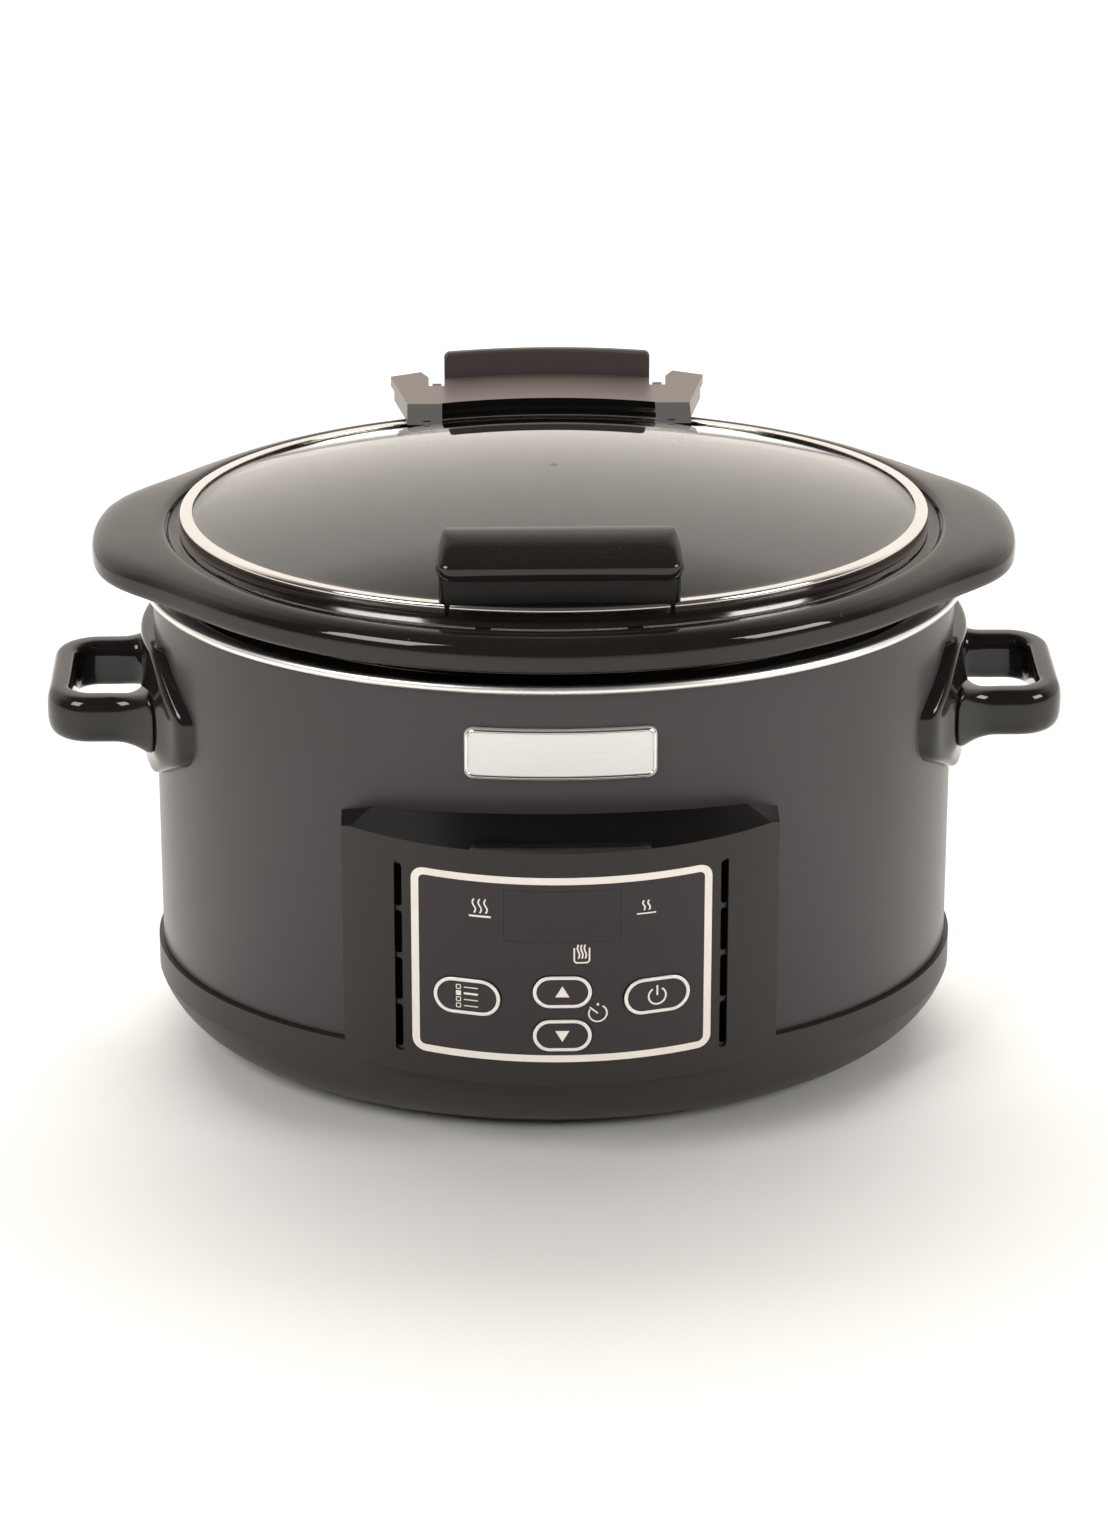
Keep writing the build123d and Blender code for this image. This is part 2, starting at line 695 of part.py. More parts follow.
with BuildPart() as hinge_bracket:
    # column on the shell
    with BuildSketch(Plane.XY.offset(130)):
        with Locations((0, (110 + COLUMN_BACK) / 2)):
            Rectangle(84, COLUMN_BACK - 110)
        fillet(vertices().group_by(Axis.Y)[-1], 8)
    extrude(amount=68.8)
    with BuildSketch(Plane.XY.offset(133)):
        with Locations((0, (110 + COLUMN_BACK - 3) / 2)):
            Rectangle(78, COLUMN_BACK - 3 - 110)
        fillet(vertices().group_by(Axis.Y)[-1], 5)
        with Locations((-30, 130), (30, 130)):
            Rectangle(11, 60, mode=Mode.SUBTRACT)
    extrude(amount=62.5, mode=Mode.SUBTRACT)
    with BuildSketch(Plane.XY.offset(125)):
        Ellipse(SHELL_A + 0.05, SHELL_B + 0.05)
    extrude(amount=74.2, mode=Mode.SUBTRACT)
    with BuildSketch(front(100)):
        with Locations(*BRACKET_SCREWS):
            Circle(1.95)
    extrude(amount=-42, mode=Mode.SUBTRACT)
    # neck behind the crock's rim, shelf and tower
    with BuildSketch(Plane.XY.offset(197)):
        with Locations((0, 146.5)):
            Rectangle(84, 7)
    extrude(amount=12)
    with BuildSketch(Plane.XY.offset(208)):
        with Locations((0, 146.5)):
            Rectangle(2 * ARM_OUT, 7)
    extrude(amount=5.5)
    with BuildSketch(Plane.XY.offset(208)):
        add(shelf_plan)
    extrude(amount=5.5)
    with BuildSketch(Plane.XY.offset(208)):
        add(tower_plan)
    extrude(amount=TOWER_TOP - 208)
    tower_ends = hinge_bracket.faces().sort_by(Axis.Z)[-1].edges().filter_by(Axis.Y)
    fillet(tower_ends, 2.4)
    long_edges = [e for e in hinge_bracket.edges().group_by(Axis.Z)[-1] if e.length > 50]
    fillet(long_edges, 1.2)
    # arms with open-topped saddles for the hinge pins
    for side in (-1, 1):
        with BuildSketch(Plane.YZ.offset(side * (ARM_IN + ARM_OUT) / 2)):
            with BuildLine():
                Polyline((143, 209), (147, 209), (147, 234), (138.5, 234), (138.5, 228), (143, 219),
                         (143, 209))
            make_face()
            with Locations((HINGE_Y, HINGE_Z)):
                Circle(PIN_R + 0.06, mode=Mode.SUBTRACT)
            with Locations((HINGE_Y, HINGE_Z + 2)):
                Rectangle(2 * PIN_R + 0.12, 4, mode=Mode.SUBTRACT)
        extrude(amount=(ARM_OUT - ARM_IN) / 2, both=True)
hinge_bracket.part.label = "hinge_bracket"
export_step(hinge_bracket.part, "parts/hinge_bracket.step")

bracket_screws = pan_screw(-front(124.2), [(x, -z) for x, z in BRACKET_SCREWS], 1.9, 17.5, 3.4, 2.2)
bracket_screws.label = "bracket_screws"
export_step(bracket_screws, "parts/bracket_screws.step")

# ================================================================ stoneware crock
CROCK_LOW = WELL_FLOOR + CROCK_GAP

with BuildPart() as crock_hollow:
    with BuildSketch(Plane.XZ):
        with BuildLine():
            Line((0, 71.5), (118, 71.5))
            ThreePointArc((118, 71.5), (133, 77.5), (139.5, 92))
            Polyline((139.5, 92), (CAVITY_A, 218), (CAVITY_A, 240), (0, 240), (0, 71.5))
        make_face()
    turn_oval(CAVITY_OVAL)


def rim_point(angle):
    """Point on the outline of the crock's rim: an oval that swells into a lug at each side."""
    swing = min(angle % 180, 180 - angle % 180)
    oval = 1 / sqrt((cos(radians(angle)) / RIM_A) ** 2 + (sin(radians(angle)) / RIM_B) ** 2)
    reach = oval + (LUG_REACH - RIM_A) / (1 + (swing / LUG_SWING) ** 5)
    return (reach * cos(radians(angle)), reach * sin(radians(angle)))


with BuildPart() as lid_recess:
    with BuildSketch(Plane.XY.offset(LID_LOW - 0.4)):
        Ellipse(160.5, 131)
    extrude(amount=20)

with BuildPart() as crock:
    with BuildSketch(Plane.XZ):
        with BuildLine():
            Line((0, 64.5), (112, 64.5))
            Line((112, 64.5), (114, CROCK_LOW))
            Line((114, CROCK_LOW), (132, CROCK_LOW))
            ThreePointArc((132, CROCK_LOW), (143.5, 67), (148.5, 80))
            Polyline((148.5, 80), (153.6, RIM_LOW + 2), (153.6, RIM_TOP - 2), (0, RIM_TOP - 2), (0, 64.5))
        make_face()
    turn_oval(OVAL)
    # rim with its two lugs
    with BuildSketch(Plane.XY.offset(RIM_LOW)):
        with BuildLine():
            Spline(*[rim_point(5 * step) for step in range(72)], periodic=True)
        make_face()
    extrude(amount=RIM_TOP - RIM_LOW)
    fillet(crock.edges().group_by(Axis.Z)[-1], 4)
    with BuildSketch(Plane.XY.offset(RIM_TOP - 1)):
        Ellipse(166.5, 136.5)
    extrude(amount=LIP_TOP - RIM_TOP + 1, taper=45)
    add(lid_recess.part, mode=Mode.SUBTRACT)
    add(crock_hollow.part, mode=Mode.SUBTRACT)
crock.part.label = "crock"
export_step(crock.part, "parts/crock.step")

# ================================================================ lid
GLASS_SCREWS = [(-30, -101), (30, -101), (-52.5, 98), (52.5, 98)]

with BuildPart() as lid_glass:
    with BuildSketch(Plane.XZ):
        with BuildLine():
            ThreePointArc((0, DOME_TOP), (74, dome_z(74)), (148, dome_z(148)))
            Polyline((148, dome_z(148)), (153.2, 230), (153.2, 226.8), (147, dome_z(147) - GLASS))
            ThreePointArc((147, dome_z(147) - GLASS), (73.5, dome_z(73.5) - GLASS), (0, DOME_TOP - GLASS))
            Line((0, DOME_TOP - GLASS), (0, DOME_TOP))
        make_face()
    turn_oval(LID_OVAL)
    with BuildSketch(Plane.XY.offset(215)):
        with Locations(*GLASS_SCREWS):
            Circle(2.2)
    extrude(amount=40, mode=Mode.SUBTRACT)
lid_glass.part.label = "lid_glass"
export_step(lid_glass.part, "parts/lid_glass.step")

with BuildPart() as lid_rim:
    with BuildSketch(Plane.XZ):
        Polygon(
            (LID_A, LID_LOW),
            (LID_A, LID_TOP),
            (148.8, LID_TOP),
            (148.8, 230.2),
            (153.4, 230.2),
            (153.4, 226.6),
            (149.4, 226.6),
            (149.4, 225.8),
            (153.4, 225.8),
            (153.4, LID_LOW),
            align=None,
        )
    turn_oval(LID_OVAL)
lid_rim.part.label = "lid_rim"
export_step(lid_rim.part, "parts/lid_rim.step")

# everything below the lid's top surface, to seat the knob and the hinge on it
with BuildPart() as lid_below:
    with BuildSketch(Plane.XZ):
        with BuildLine():
            ThreePointArc((0, DOME_TOP), (74, dome_z(74)), (148, dome_z(148)))
            Polyline((148, dome_z(148)), (148, LID_TOP + 0.1), (LID_A + 0.3, LID_TOP + 0.1),
                     (LID_A + 0.3, 200), (0, 200), (0, DOME_TOP))
        make_face()
    turn_oval(LID_OVAL)

KNOB_SPLIT = 241.0
KNOB_TOP = 256.0

with BuildPart() as knob_base:
    with BuildSketch(Plane.XY.offset(226)):
        with Locations((0, -102.5)):
            RectangleRounded(95, 20, 4)
    extrude(amount=KNOB_SPLIT - 226)
    add(lid_below.part, mode=Mode.SUBTRACT)
    with BuildSketch(Plane.XY.offset(220)):
        with Locations((-30, -101), (30, -101)):
            Circle(2.05)
    extrude(amount=30, mode=Mode.SUBTRACT)
knob_base.part.label = "knob_base"
export_step(knob_base.part, "parts/knob_base.step")

with BuildPart() as knob_grip:
    with BuildSketch(Plane.XY.offset(KNOB_SPLIT)):
        with Locations((0, -103)):
            RectangleRounded(97.4, 26, 6)
    extrude(amount=KNOB_TOP - KNOB_SPLIT)
    fillet(knob_grip.edges().group_by(Axis.Z)[-1], 5)
    with BuildSketch(Plane.XY.offset(KNOB_SPLIT)):
        with Locations((-30, -101), (30, -101)):
            Circle(2.05)
    extrude(amount=9, mode=Mode.SUBTRACT)
knob_grip.part.label = "knob_grip"
export_step(knob_grip.part, "parts/knob_grip.step")

knob_screws = pan_screw(Plane.XY.offset(228), [(-30, -101), (30, -101)], 1.95, 20, 3.2, 2.2)
knob_screws.label = "knob_screws"
export_step(knob_screws, "parts/knob_screws.step")

# ---------------------------------------------------------------- hinge carrier fixed to the lid's back
WEB_FRONT = 119.5
WEB_REAR = 151.4
leg = [(94, WEB_LOW), (94, 233.4), (112, WEB_TOP), (116, WEB_TOP), (116, WEB_LOW)]

with BuildPart() as hinge_carrier:
    with BuildSketch(Plane.XY.offset(WEB_LOW)):
        with BuildLine():
            ThreePointArc((0, WEB_FRONT), (24, 117.8), (46, 113.2))
            Polyline((46, 113.2), (61, 112.5), (68.5, 149.5), (55.2, 155.5), (51.8, 148),
                     (51.8, 136.5), (44.6, 136.5), (44.6, 146.1))
            ThreePointArc((44.6, 146.1), (22.5, 150.1), (0, WEB_REAR))
            mirror(about=Plane.YZ)
        make_face()
    extrude(amount=WEB_TOP - WEB_LOW)
    # thin behind the axis, so that the open lid clears the crock
    with BuildSketch(Plane.XY.offset(WEB_LOW)):
        with Locations((0, HINGE_Y + 20)):
            Rectangle(150, 40)
    extrude(amount=4.2, mode=Mode.SUBTRACT)
    with BuildSketch(Plane.YZ.offset(-66)):
        with Locations((HINGE_Y, HINGE_Z)):
            Circle(3.5)
    extrude(amount=132)
    with BuildSketch(Plane.XY.offset(220)):
        for side in (-1, 1):
            with Locations((side * 48.2, 146.5)):
                Rectangle(7.2, 20)
    extrude(amount=30, mode=Mode.SUBTRACT)
    # legs that step over the lid's rim onto the glass
    with BuildSketch(Plane.YZ.offset(46)):
        Polygon(*leg, align=None)
    extrude(amount=15)
    with BuildSketch(Plane.YZ.offset(-46)):
        Polygon(*leg, align=None)
    extrude(amount=-15)
    add(lid_below.part, mode=Mode.SUBTRACT)
    with BuildSketch(Plane.XY.offset(220)):
        with Locations((-52.5, 98), (52.5, 98)):
            Circle(1.95)
    extrude(amount=14, mode=Mode.SUBTRACT)
    with BuildSketch(Plane.YZ.offset(-64)):
        with Locations((HINGE_Y, HINGE_Z)):
            Circle(PIN_R + 0.02)
    extrude(amount=25, mode=Mode.SUBTRACT)
    with BuildSketch(Plane.YZ.offset(39)):
        with Locations((HINGE_Y, HINGE_Z)):
            Circle(PIN_R + 0.02)
    extrude(amount=25, mode=Mode.SUBTRACT)
hinge_carrier.part.label = "hinge_carrier"
export_step(hinge_carrier.part, "parts/hinge_carrier.step")

with BuildPart() as hinge_pins:
    with BuildSketch(Plane.YZ.offset(40)):
        with Locations((HINGE_Y, HINGE_Z)):
            Circle(PIN_R)
    extrude(amount=23)
    mirror(about=Plane.YZ)
hinge_pins.part.label = "hinge_pins"
export_step(hinge_pins.part, "parts/hinge_pins.step")

with BuildPart() as carrier_clamps:
    with BuildSketch(Plane.XY.offset(224.6)):
        with Locations((-52.5, 98), (52.5, 98)):
            RectangleRounded(11, 6.5, 2)
            Circle(2, mode=Mode.SUBTRACT)
    extrude(amount=2.5)
carrier_clamps.part.label = "carrier_clamps"
export_step(carrier_clamps.part, "parts/carrier_clamps.step")

carrier_screws = pan_screw(Plane.XY.offset(224.6), [(-52.5, 98), (52.5, 98)], 1.9, 9, 2.8, 1.8)
carrier_screws.label = "carrier_screws"
export_step(carrier_screws, "parts/carrier_screws.step")
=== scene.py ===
import json
from math import asin, cos, degrees, exp, pi, radians, sin, sqrt

import bpy
import bmesh
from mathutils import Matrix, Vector


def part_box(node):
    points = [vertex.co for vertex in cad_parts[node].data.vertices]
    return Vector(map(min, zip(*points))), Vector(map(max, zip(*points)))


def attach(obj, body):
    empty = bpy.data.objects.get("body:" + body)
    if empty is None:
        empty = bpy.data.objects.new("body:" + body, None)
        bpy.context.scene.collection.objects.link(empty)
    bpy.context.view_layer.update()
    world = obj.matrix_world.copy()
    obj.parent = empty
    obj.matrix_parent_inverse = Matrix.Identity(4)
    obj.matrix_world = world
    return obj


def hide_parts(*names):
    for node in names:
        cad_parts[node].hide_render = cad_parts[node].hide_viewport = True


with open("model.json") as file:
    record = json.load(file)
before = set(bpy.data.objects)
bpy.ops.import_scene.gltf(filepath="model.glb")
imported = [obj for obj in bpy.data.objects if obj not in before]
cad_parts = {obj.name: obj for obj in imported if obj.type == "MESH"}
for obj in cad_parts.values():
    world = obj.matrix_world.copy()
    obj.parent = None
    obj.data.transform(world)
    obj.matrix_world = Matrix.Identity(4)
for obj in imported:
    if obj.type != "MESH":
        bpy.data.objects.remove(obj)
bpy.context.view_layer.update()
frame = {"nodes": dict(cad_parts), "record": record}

# ================================================================ sizes, from the frame, in metres
MM = 0.001


def half_size(node):
    """Half width, half depth, lowest and highest point of a CAD node that is centred on the oval."""
    low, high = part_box(node)
    return (high.x - low.x) / 2, (high.y - low.y) / 2, low.z, high.z


SHELL_A, SHELL_B, SHELL_LOW, SHELL_TOP = half_size("outer_shell")
RING_A, RING_B, _, RING_TOP = half_size("trim_ring")
CROCK_A, CROCK_B, CROCK_LOW, CROCK_TOP = half_size("crock")
LID_A, LID_B, LID_LOW, LID_TOP = half_size("lid_rim")
_, _, _, GLASS_TOP = half_size("lid_glass")

PANEL_LOW_CORNER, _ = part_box("panel_housing")
PANEL_R = 134 * MM  # radius of the control panel's curved front
PANEL_Y = PANEL_LOW_CORNER.y + PANEL_R  # middle of that curve

SEGMENTS = 224  # round every oval


# ================================================================ materials
def socket_in(group, name, kind="NodeSocketFloat", value=None):
    """Add a named input to a shader group."""
    made = group.interface.new_socket(name, in_out="INPUT", socket_type=kind)
    if value is not None:
        made.default_value = value
    return made


def socket_out(group, name, kind="NodeSocketFloat"):
    """Add a named output to a shader group."""
    return group.interface.new_socket(name, in_out="OUTPUT", socket_type=kind)


class Wires:
    """Small helper that places nodes in a tree and joins them."""

    def __init__(self, tree):
        self.tree = tree

    def add(self, kind, **values):
        node = self.tree.nodes.new(kind)
        for key, value in values.items():
            setattr(node, key, value)
        return node

    def join(self, source, target):
        self.tree.links.new(source, target)

    def put(self, target, value):
        """Give an input either a link or a plain value."""
        if isinstance(value, bpy.types.NodeSocket):
            self.join(value, target)
        else:
            target.default_value = value

    def maths(self, operation, first, second=0.5, clamp=False):
        node = self.add("ShaderNodeMath", operation=operation, use_clamp=clamp)
        self.put(node.inputs[0], first)
        self.put(node.inputs[1], second)
        return node.outputs[0]

    def noise(self, scale, detail=2.0, rough=0.5, vector=None):
        node = self.add("ShaderNodeTexNoise")
        self.put(node.inputs["Scale"], scale)
        node.inputs["Detail"].default_value = detail
        node.inputs["Roughness"].default_value = rough
        if vector is not None:
            self.join(vector, node.inputs["Vector"])
        return node.outputs["Fac"]

    def spread(self, value, low, high, to_low=0.0, to_high=1.0):
        node = self.add("ShaderNodeMapRange")
        self.put(node.inputs["Value"], value)
        self.put(node.inputs["From Min"], low)
        self.put(node.inputs["From Max"], high)
        self.put(node.inputs["To Min"], to_low)
        self.put(node.inputs["To Max"], to_high)
        return node.outputs["Result"]


def new_group(name):
    """Empty shader node group, and the helper that adds and wires its nodes."""
    group = bpy.data.node_groups.new(name, "ShaderNodeTree")
    wires = Wires(group)
    return group, wires


def moulded_grain_group():
    """Fine spark-eroded grain of moulded plastic: a height for the bump and a small change of roughness."""
    group, w = new_group("moulded_grain")
    socket_in(group, "Grain Scale", value=2600.0)
    socket_in(group, "Roughness", value=0.4)
    socket_in(group, "Roughness Swing", value=0.05)
    socket_out(group, "Height")
    socket_out(group, "Roughness")
    start = w.add("NodeGroupInput")
    place = w.add("ShaderNodeTexCoord").outputs["Object"]
    fine = w.noise(start.outputs["Grain Scale"], 2.0, 0.6, place)
    cloud = w.noise(28.0, 3.0, 0.5, place)
    swing = w.maths("SUBTRACT", cloud, 0.5)
    swing = w.maths("MULTIPLY", swing, start.outputs["Roughness Swing"])
    rough = w.maths("ADD", swing, start.outputs["Roughness"])
    end = w.add("NodeGroupOutput")
    w.join(fine, end.inputs["Height"])
    w.join(rough, end.inputs["Roughness"])
    return group


def handling_group():
    """Faint wipe marks and dust of a polished surface: a mask, a roughness and a height."""
    group, w = new_group("handling_marks")
    socket_in(group, "Roughness", value=0.08)
    socket_in(group, "Smear", value=0.03)
    socket_in(group, "Wave Scale", value=14.0)
    socket_out(group, "Roughness")
    socket_out(group, "Height")
    socket_out(group, "Dust")
    start = w.add("NodeGroupInput")
    place = w.add("ShaderNodeTexCoord").outputs["Object"]
    stretch = w.add("ShaderNodeMapping")
    stretch.inputs["Scale"].default_value = (1.0, 0.35, 1.0)
    stretch.inputs["Rotation"].default_value = (0.3, 0.2, 0.6)
    w.join(place, stretch.inputs["Vector"])
    smear = w.noise(60.0, 4.0, 0.6, stretch.outputs["Vector"])
    smear = w.spread(smear, 0.45, 0.75)
    smear = w.maths("MULTIPLY", smear, start.outputs["Smear"])
    rough = w.maths("ADD", start.outputs["Roughness"], smear)
    wave = w.noise(start.outputs["Wave Scale"], 1.0, 0.4, place)
    upward = w.add("ShaderNodeNewGeometry").outputs["Normal"]
    split = w.add("ShaderNodeSeparateXYZ")
    w.join(upward, split.inputs[0])
    top = w.spread(split.outputs["Z"], 0.5, 1.0)
    specks = w.noise(900.0, 2.0, 0.7, place)
    specks = w.spread(specks, 0.66, 0.74)
    dust = w.maths("MULTIPLY", specks, top)
    end = w.add("NodeGroupOutput")
    w.join(rough, end.inputs["Roughness"])
    w.join(wave, end.inputs["Height"])
    w.join(dust, end.inputs["Dust"])
    return group


def tone_group():
    """Slow change of a colour over a surface, as paint, glaze and plastic all show."""
    group, w = new_group("tone_drift")
    socket_in(group, "Base", "NodeSocketColor", (0.5, 0.5, 0.5, 1))
    socket_in(group, "Drift", "NodeSocketColor", (0.5, 0.5, 0.5, 1))
    socket_in(group, "Patch Scale", value=9.0)
    socket_in(group, "Amount", value=0.5)
    socket_out(group, "Color", "NodeSocketColor")
    start = w.add("NodeGroupInput")
    place = w.add("ShaderNodeTexCoord").outputs["Object"]
    patch = w.noise(start.outputs["Patch Scale"], 4.0, 0.55, place)
    patch = w.spread(patch, 0.3, 0.7)
    patch = w.maths("MULTIPLY", patch, start.outputs["Amount"])
    mix = w.add("ShaderNodeMix", data_type="RGBA")
    w.join(patch, mix.inputs["Factor"])
    w.join(start.outputs["Base"], mix.inputs["A"])
    w.join(start.outputs["Drift"], mix.inputs["B"])
    end = w.add("NodeGroupOutput")
    w.join(mix.outputs["Result"], end.inputs["Color"])
    return group


GRAIN = moulded_grain_group()
HANDLING = handling_group()
TONE = tone_group()


class Finish:
    """One material: a Principled shader with the shared groups feeding it."""

    def __init__(self, name, metallic=0.0, coat=0.0, coat_rough=0.1, level=0.5):
        self.material = bpy.data.materials.new(name)
        self.material.use_nodes = True
        self.wires = Wires(self.material.node_tree)
        self.shader = self.material.node_tree.nodes["Principled BSDF"]
        self.shader.inputs["Metallic"].default_value = metallic
        self.shader.inputs["Coat Weight"].default_value = coat
        self.shader.inputs["Coat Roughness"].default_value = coat_rough
        self.shader.inputs["Specular IOR Level"].default_value = level

    def group(self, tree, **values):
        node = self.wires.add("ShaderNodeGroup", node_tree=tree)
        for key, value in values.items():
            self.wires.put(node.inputs[key.replace("_", " ")], value)
        return node

    def tone(self, base, drift, scale=9.0, amount=0.5):
        node = self.group(TONE, Base=(*base, 1), Drift=(*drift, 1), Patch_Scale=scale, Amount=amount)
        return node.outputs["Color"]

    def mix(self, factor, first, second):
        node = self.wires.add("ShaderNodeMix", data_type="RGBA")
        self.wires.put(node.inputs["Factor"], factor)
        self.wires.put(node.inputs["A"], first)
        self.wires.put(node.inputs["B"], second)
        return node.outputs["Result"]

    def bump(self, height, distance, strength=1.0, after=None):
        node = self.wires.add("ShaderNodeBump")
        node.inputs["Distance"].default_value = distance
        node.inputs["Strength"].default_value = strength
        self.wires.join(height, node.inputs["Height"])
        if after is not None:
            self.wires.join(after, node.inputs["Normal"])
        return node.outputs["Normal"]

    def done(self, color=None, roughness=None, normal=None):
        if color is not None:
            self.wires.put(self.shader.inputs["Base Color"], color)
        if roughness is not None:
            self.wires.put(self.shader.inputs["Roughness"], roughness)
        if normal is not None:
            self.wires.join(normal, self.shader.inputs["Normal"])
        return self.material


def stoved_charcoal_paint():
    """Stoved charcoal paint of the outer shell."""
    f = Finish("stoved_charcoal_paint", coat=0.35, coat_rough=0.2, level=0.4)
    grain = f.group(GRAIN, Grain_Scale=1500.0, Roughness=0.42, Roughness_Swing=0.05)
    color = f.tone((0.037, 0.0285, 0.0305), (0.043, 0.034, 0.036), 6.0, 0.6)
    normal = f.bump(grain.outputs["Height"], 0.00004, 0.35)
    return f.done(color, grain.outputs["Roughness"], normal)


def satin_black(name, color, drift, rough, scale=2400.0, depth=0.00006, level=0.5):
    """Moulded plastic with a fine satin grain."""
    f = Finish(name, level=level)
    grain = f.group(GRAIN, Grain_Scale=scale, Roughness=rough, Roughness_Swing=0.06)
    normal = f.bump(grain.outputs["Height"], depth, 0.4)
    return f.done(f.tone(color, drift, 12.0, 0.6), grain.outputs["Roughness"], normal)


def panel_black():
    """The panel's satin front turns glossy on the ledge above it."""
    f = Finish("panel_black", level=0.4)
    w = f.wires
    grain = f.group(GRAIN, Grain_Scale=2400.0, Roughness=0.36, Roughness_Swing=0.06)
    geometry = w.add("ShaderNodeNewGeometry")
    split = w.add("ShaderNodeSeparateXYZ")
    w.join(geometry.outputs["Normal"], split.inputs[0])
    top = w.spread(split.outputs["Z"], 0.25, 0.6)
    plain = f.tone((0.013, 0.0100, 0.0092), (0.018, 0.0145, 0.0135), 12.0, 0.6)
    color = f.mix(top, plain, (0.006, 0.005, 0.005, 1))
    rough = w.spread(top, 0.0, 1.0, grain.outputs["Roughness"], 0.05)
    depth = w.maths("MULTIPLY", grain.outputs["Height"], w.maths("SUBTRACT", 1.0, top))
    return f.done(color, rough, f.bump(depth, 0.00006, 0.4))


def carrier_black_painted_light():
    """The lid's hinge carrier is satin on top and polished on its front wall and legs. The satin top's pale
    grey is painted light; the near-black of the front wall and legs is the plastic's own.
    """
    f = Finish("carrier_black_painted_light")
    w = f.wires
    grain = f.group(GRAIN, Grain_Scale=2200.0, Roughness=0.33, Roughness_Swing=0.06)
    facing = w.add("ShaderNodeSeparateXYZ")
    w.join(w.add("ShaderNodeTexCoord").outputs["Normal"], facing.inputs[0])
    front_wall = w.spread(facing.outputs["Y"], -0.3, -0.6)
    place = w.add("ShaderNodeSeparateXYZ")
    w.join(w.add("ShaderNodeTexCoord").outputs["Object"], place.inputs[0])
    legs = w.spread(place.outputs["Y"], 0.1135, 0.1125)
    polished = w.maths("MAXIMUM", front_wall, legs)
    # Painted light: the satin top gets a pale grey and the front-facing wall and legs a near-black; only the
    # change of polish between them is real.
    plain = f.tone((0.112, 0.091, 0.081), (0.128, 0.105, 0.094), 12.0, 0.6)
    color = f.mix(polished, plain, (0.006, 0.0052, 0.005, 1))
    rough = w.spread(polished, 0.0, 1.0, grain.outputs["Roughness"], 0.06)
    return f.done(color, rough, f.bump(grain.outputs["Height"], 0.00004, 0.3))


def polished_black(name, color=(0.012, 0.0100, 0.0092), rough=0.05, wave=0.0002):
    """Polished black moulding: slight sink waves and faint wipe marks."""
    f = Finish(name, coat=0.1, coat_rough=0.03, level=0.42)
    marks = f.group(HANDLING, Roughness=rough, Smear=0.03, Wave_Scale=22.0)
    base = f.tone(color, tuple(1.6 * c for c in color), 14.0, 0.5)
    color = f.mix(marks.outputs["Dust"], base, (0.06, 0.057, 0.053, 1))
    return f.done(color, marks.outputs["Roughness"], f.bump(marks.outputs["Height"], wave, 0.35))


def black_glaze():
    """Thick black glaze over stoneware: soft orange peel, pinholes, browner where it is thin."""
    f = Finish("black_glaze", coat=0.1, coat_rough=0.02, level=0.4)
    w = f.wires
    marks = f.group(HANDLING, Roughness=0.045, Smear=0.02, Wave_Scale=55.0)
    place = w.add("ShaderNodeTexCoord").outputs["Object"]
    peel = w.noise(260.0, 2.0, 0.5, place)
    pin = w.spread(w.noise(700.0, 1.0, 0.5, place), 0.76, 0.80)
    height = w.maths("ADD", marks.outputs["Height"], w.maths("MULTIPLY", peel, 0.18))
    height = w.maths("SUBTRACT", height, w.maths("MULTIPLY", pin, 0.4))
    base = f.tone((0.010, 0.0078, 0.0072), (0.018, 0.0125, 0.0105), 20.0, 0.7)
    color = f.mix(pin, base, (0.05, 0.035, 0.026, 1))
    return f.done(color, marks.outputs["Roughness"], f.bump(height, 0.0003, 0.4))


def polished_steel(name, rough=0.09, color=(0.78, 0.765, 0.74), smear=0.05, metallic=1.0):
    """Polished steel, or silvered trim when it is rougher and paler."""
    f = Finish(name, metallic=metallic)
    marks = f.group(HANDLING, Roughness=rough, Smear=smear, Wave_Scale=30.0)
    base = f.tone(color, tuple(0.88 * c for c in color), 40.0, 0.5)
    return f.done(base, marks.outputs["Roughness"], f.bump(marks.outputs["Height"], 0.0001, 0.2))


def brushed_metal(name, color, rough, scale=900.0, metallic=1.0):
    """Sheet or turned metal with fine lines along X."""
    f = Finish(name, metallic=metallic)
    w = f.wires
    place = w.add("ShaderNodeTexCoord").outputs["Object"]
    squeeze = w.add("ShaderNodeMapping")
    squeeze.inputs["Scale"].default_value = (0.03, 1.0, 1.0)
    w.join(place, squeeze.inputs["Vector"])
    lines = w.noise(scale, 3.0, 0.6, squeeze.outputs["Vector"])
    base = f.mix(lines, (*(0.85 * c for c in color), 1), (*color, 1))
    rough = w.spread(lines, 0.3, 0.7, rough - 0.05, rough + 0.07)
    return f.done(base, rough, f.bump(lines, 0.00003, 0.3))


def tempered_glass():
    """Tempered glass of the lid."""
    f = Finish("tempered_glass")
    f.shader.inputs["Transmission Weight"].default_value = 1.0
    f.shader.inputs["IOR"].default_value = 1.62
    marks = f.group(HANDLING, Roughness=0.0, Smear=0.012, Wave_Scale=9.0)
    color = f.tone((0.93, 0.945, 0.935), (0.96, 0.965, 0.96), 5.0, 0.5)
    return f.done(color, marks.outputs["Roughness"], f.bump(marks.outputs["Height"], 0.0003, 0.2))


def silver_print():
    """Printed silver ink: slightly uneven, barely raised."""
    f = Finish("silver_print", metallic=0.15)
    grain = f.group(GRAIN, Grain_Scale=3000.0, Roughness=0.34, Roughness_Swing=0.1)
    color = f.tone((0.86, 0.81, 0.75), (0.80, 0.75, 0.69), 90.0, 0.6)
    return f.done(color, grain.outputs["Roughness"], f.bump(grain.outputs["Height"], 0.00003, 0.4))


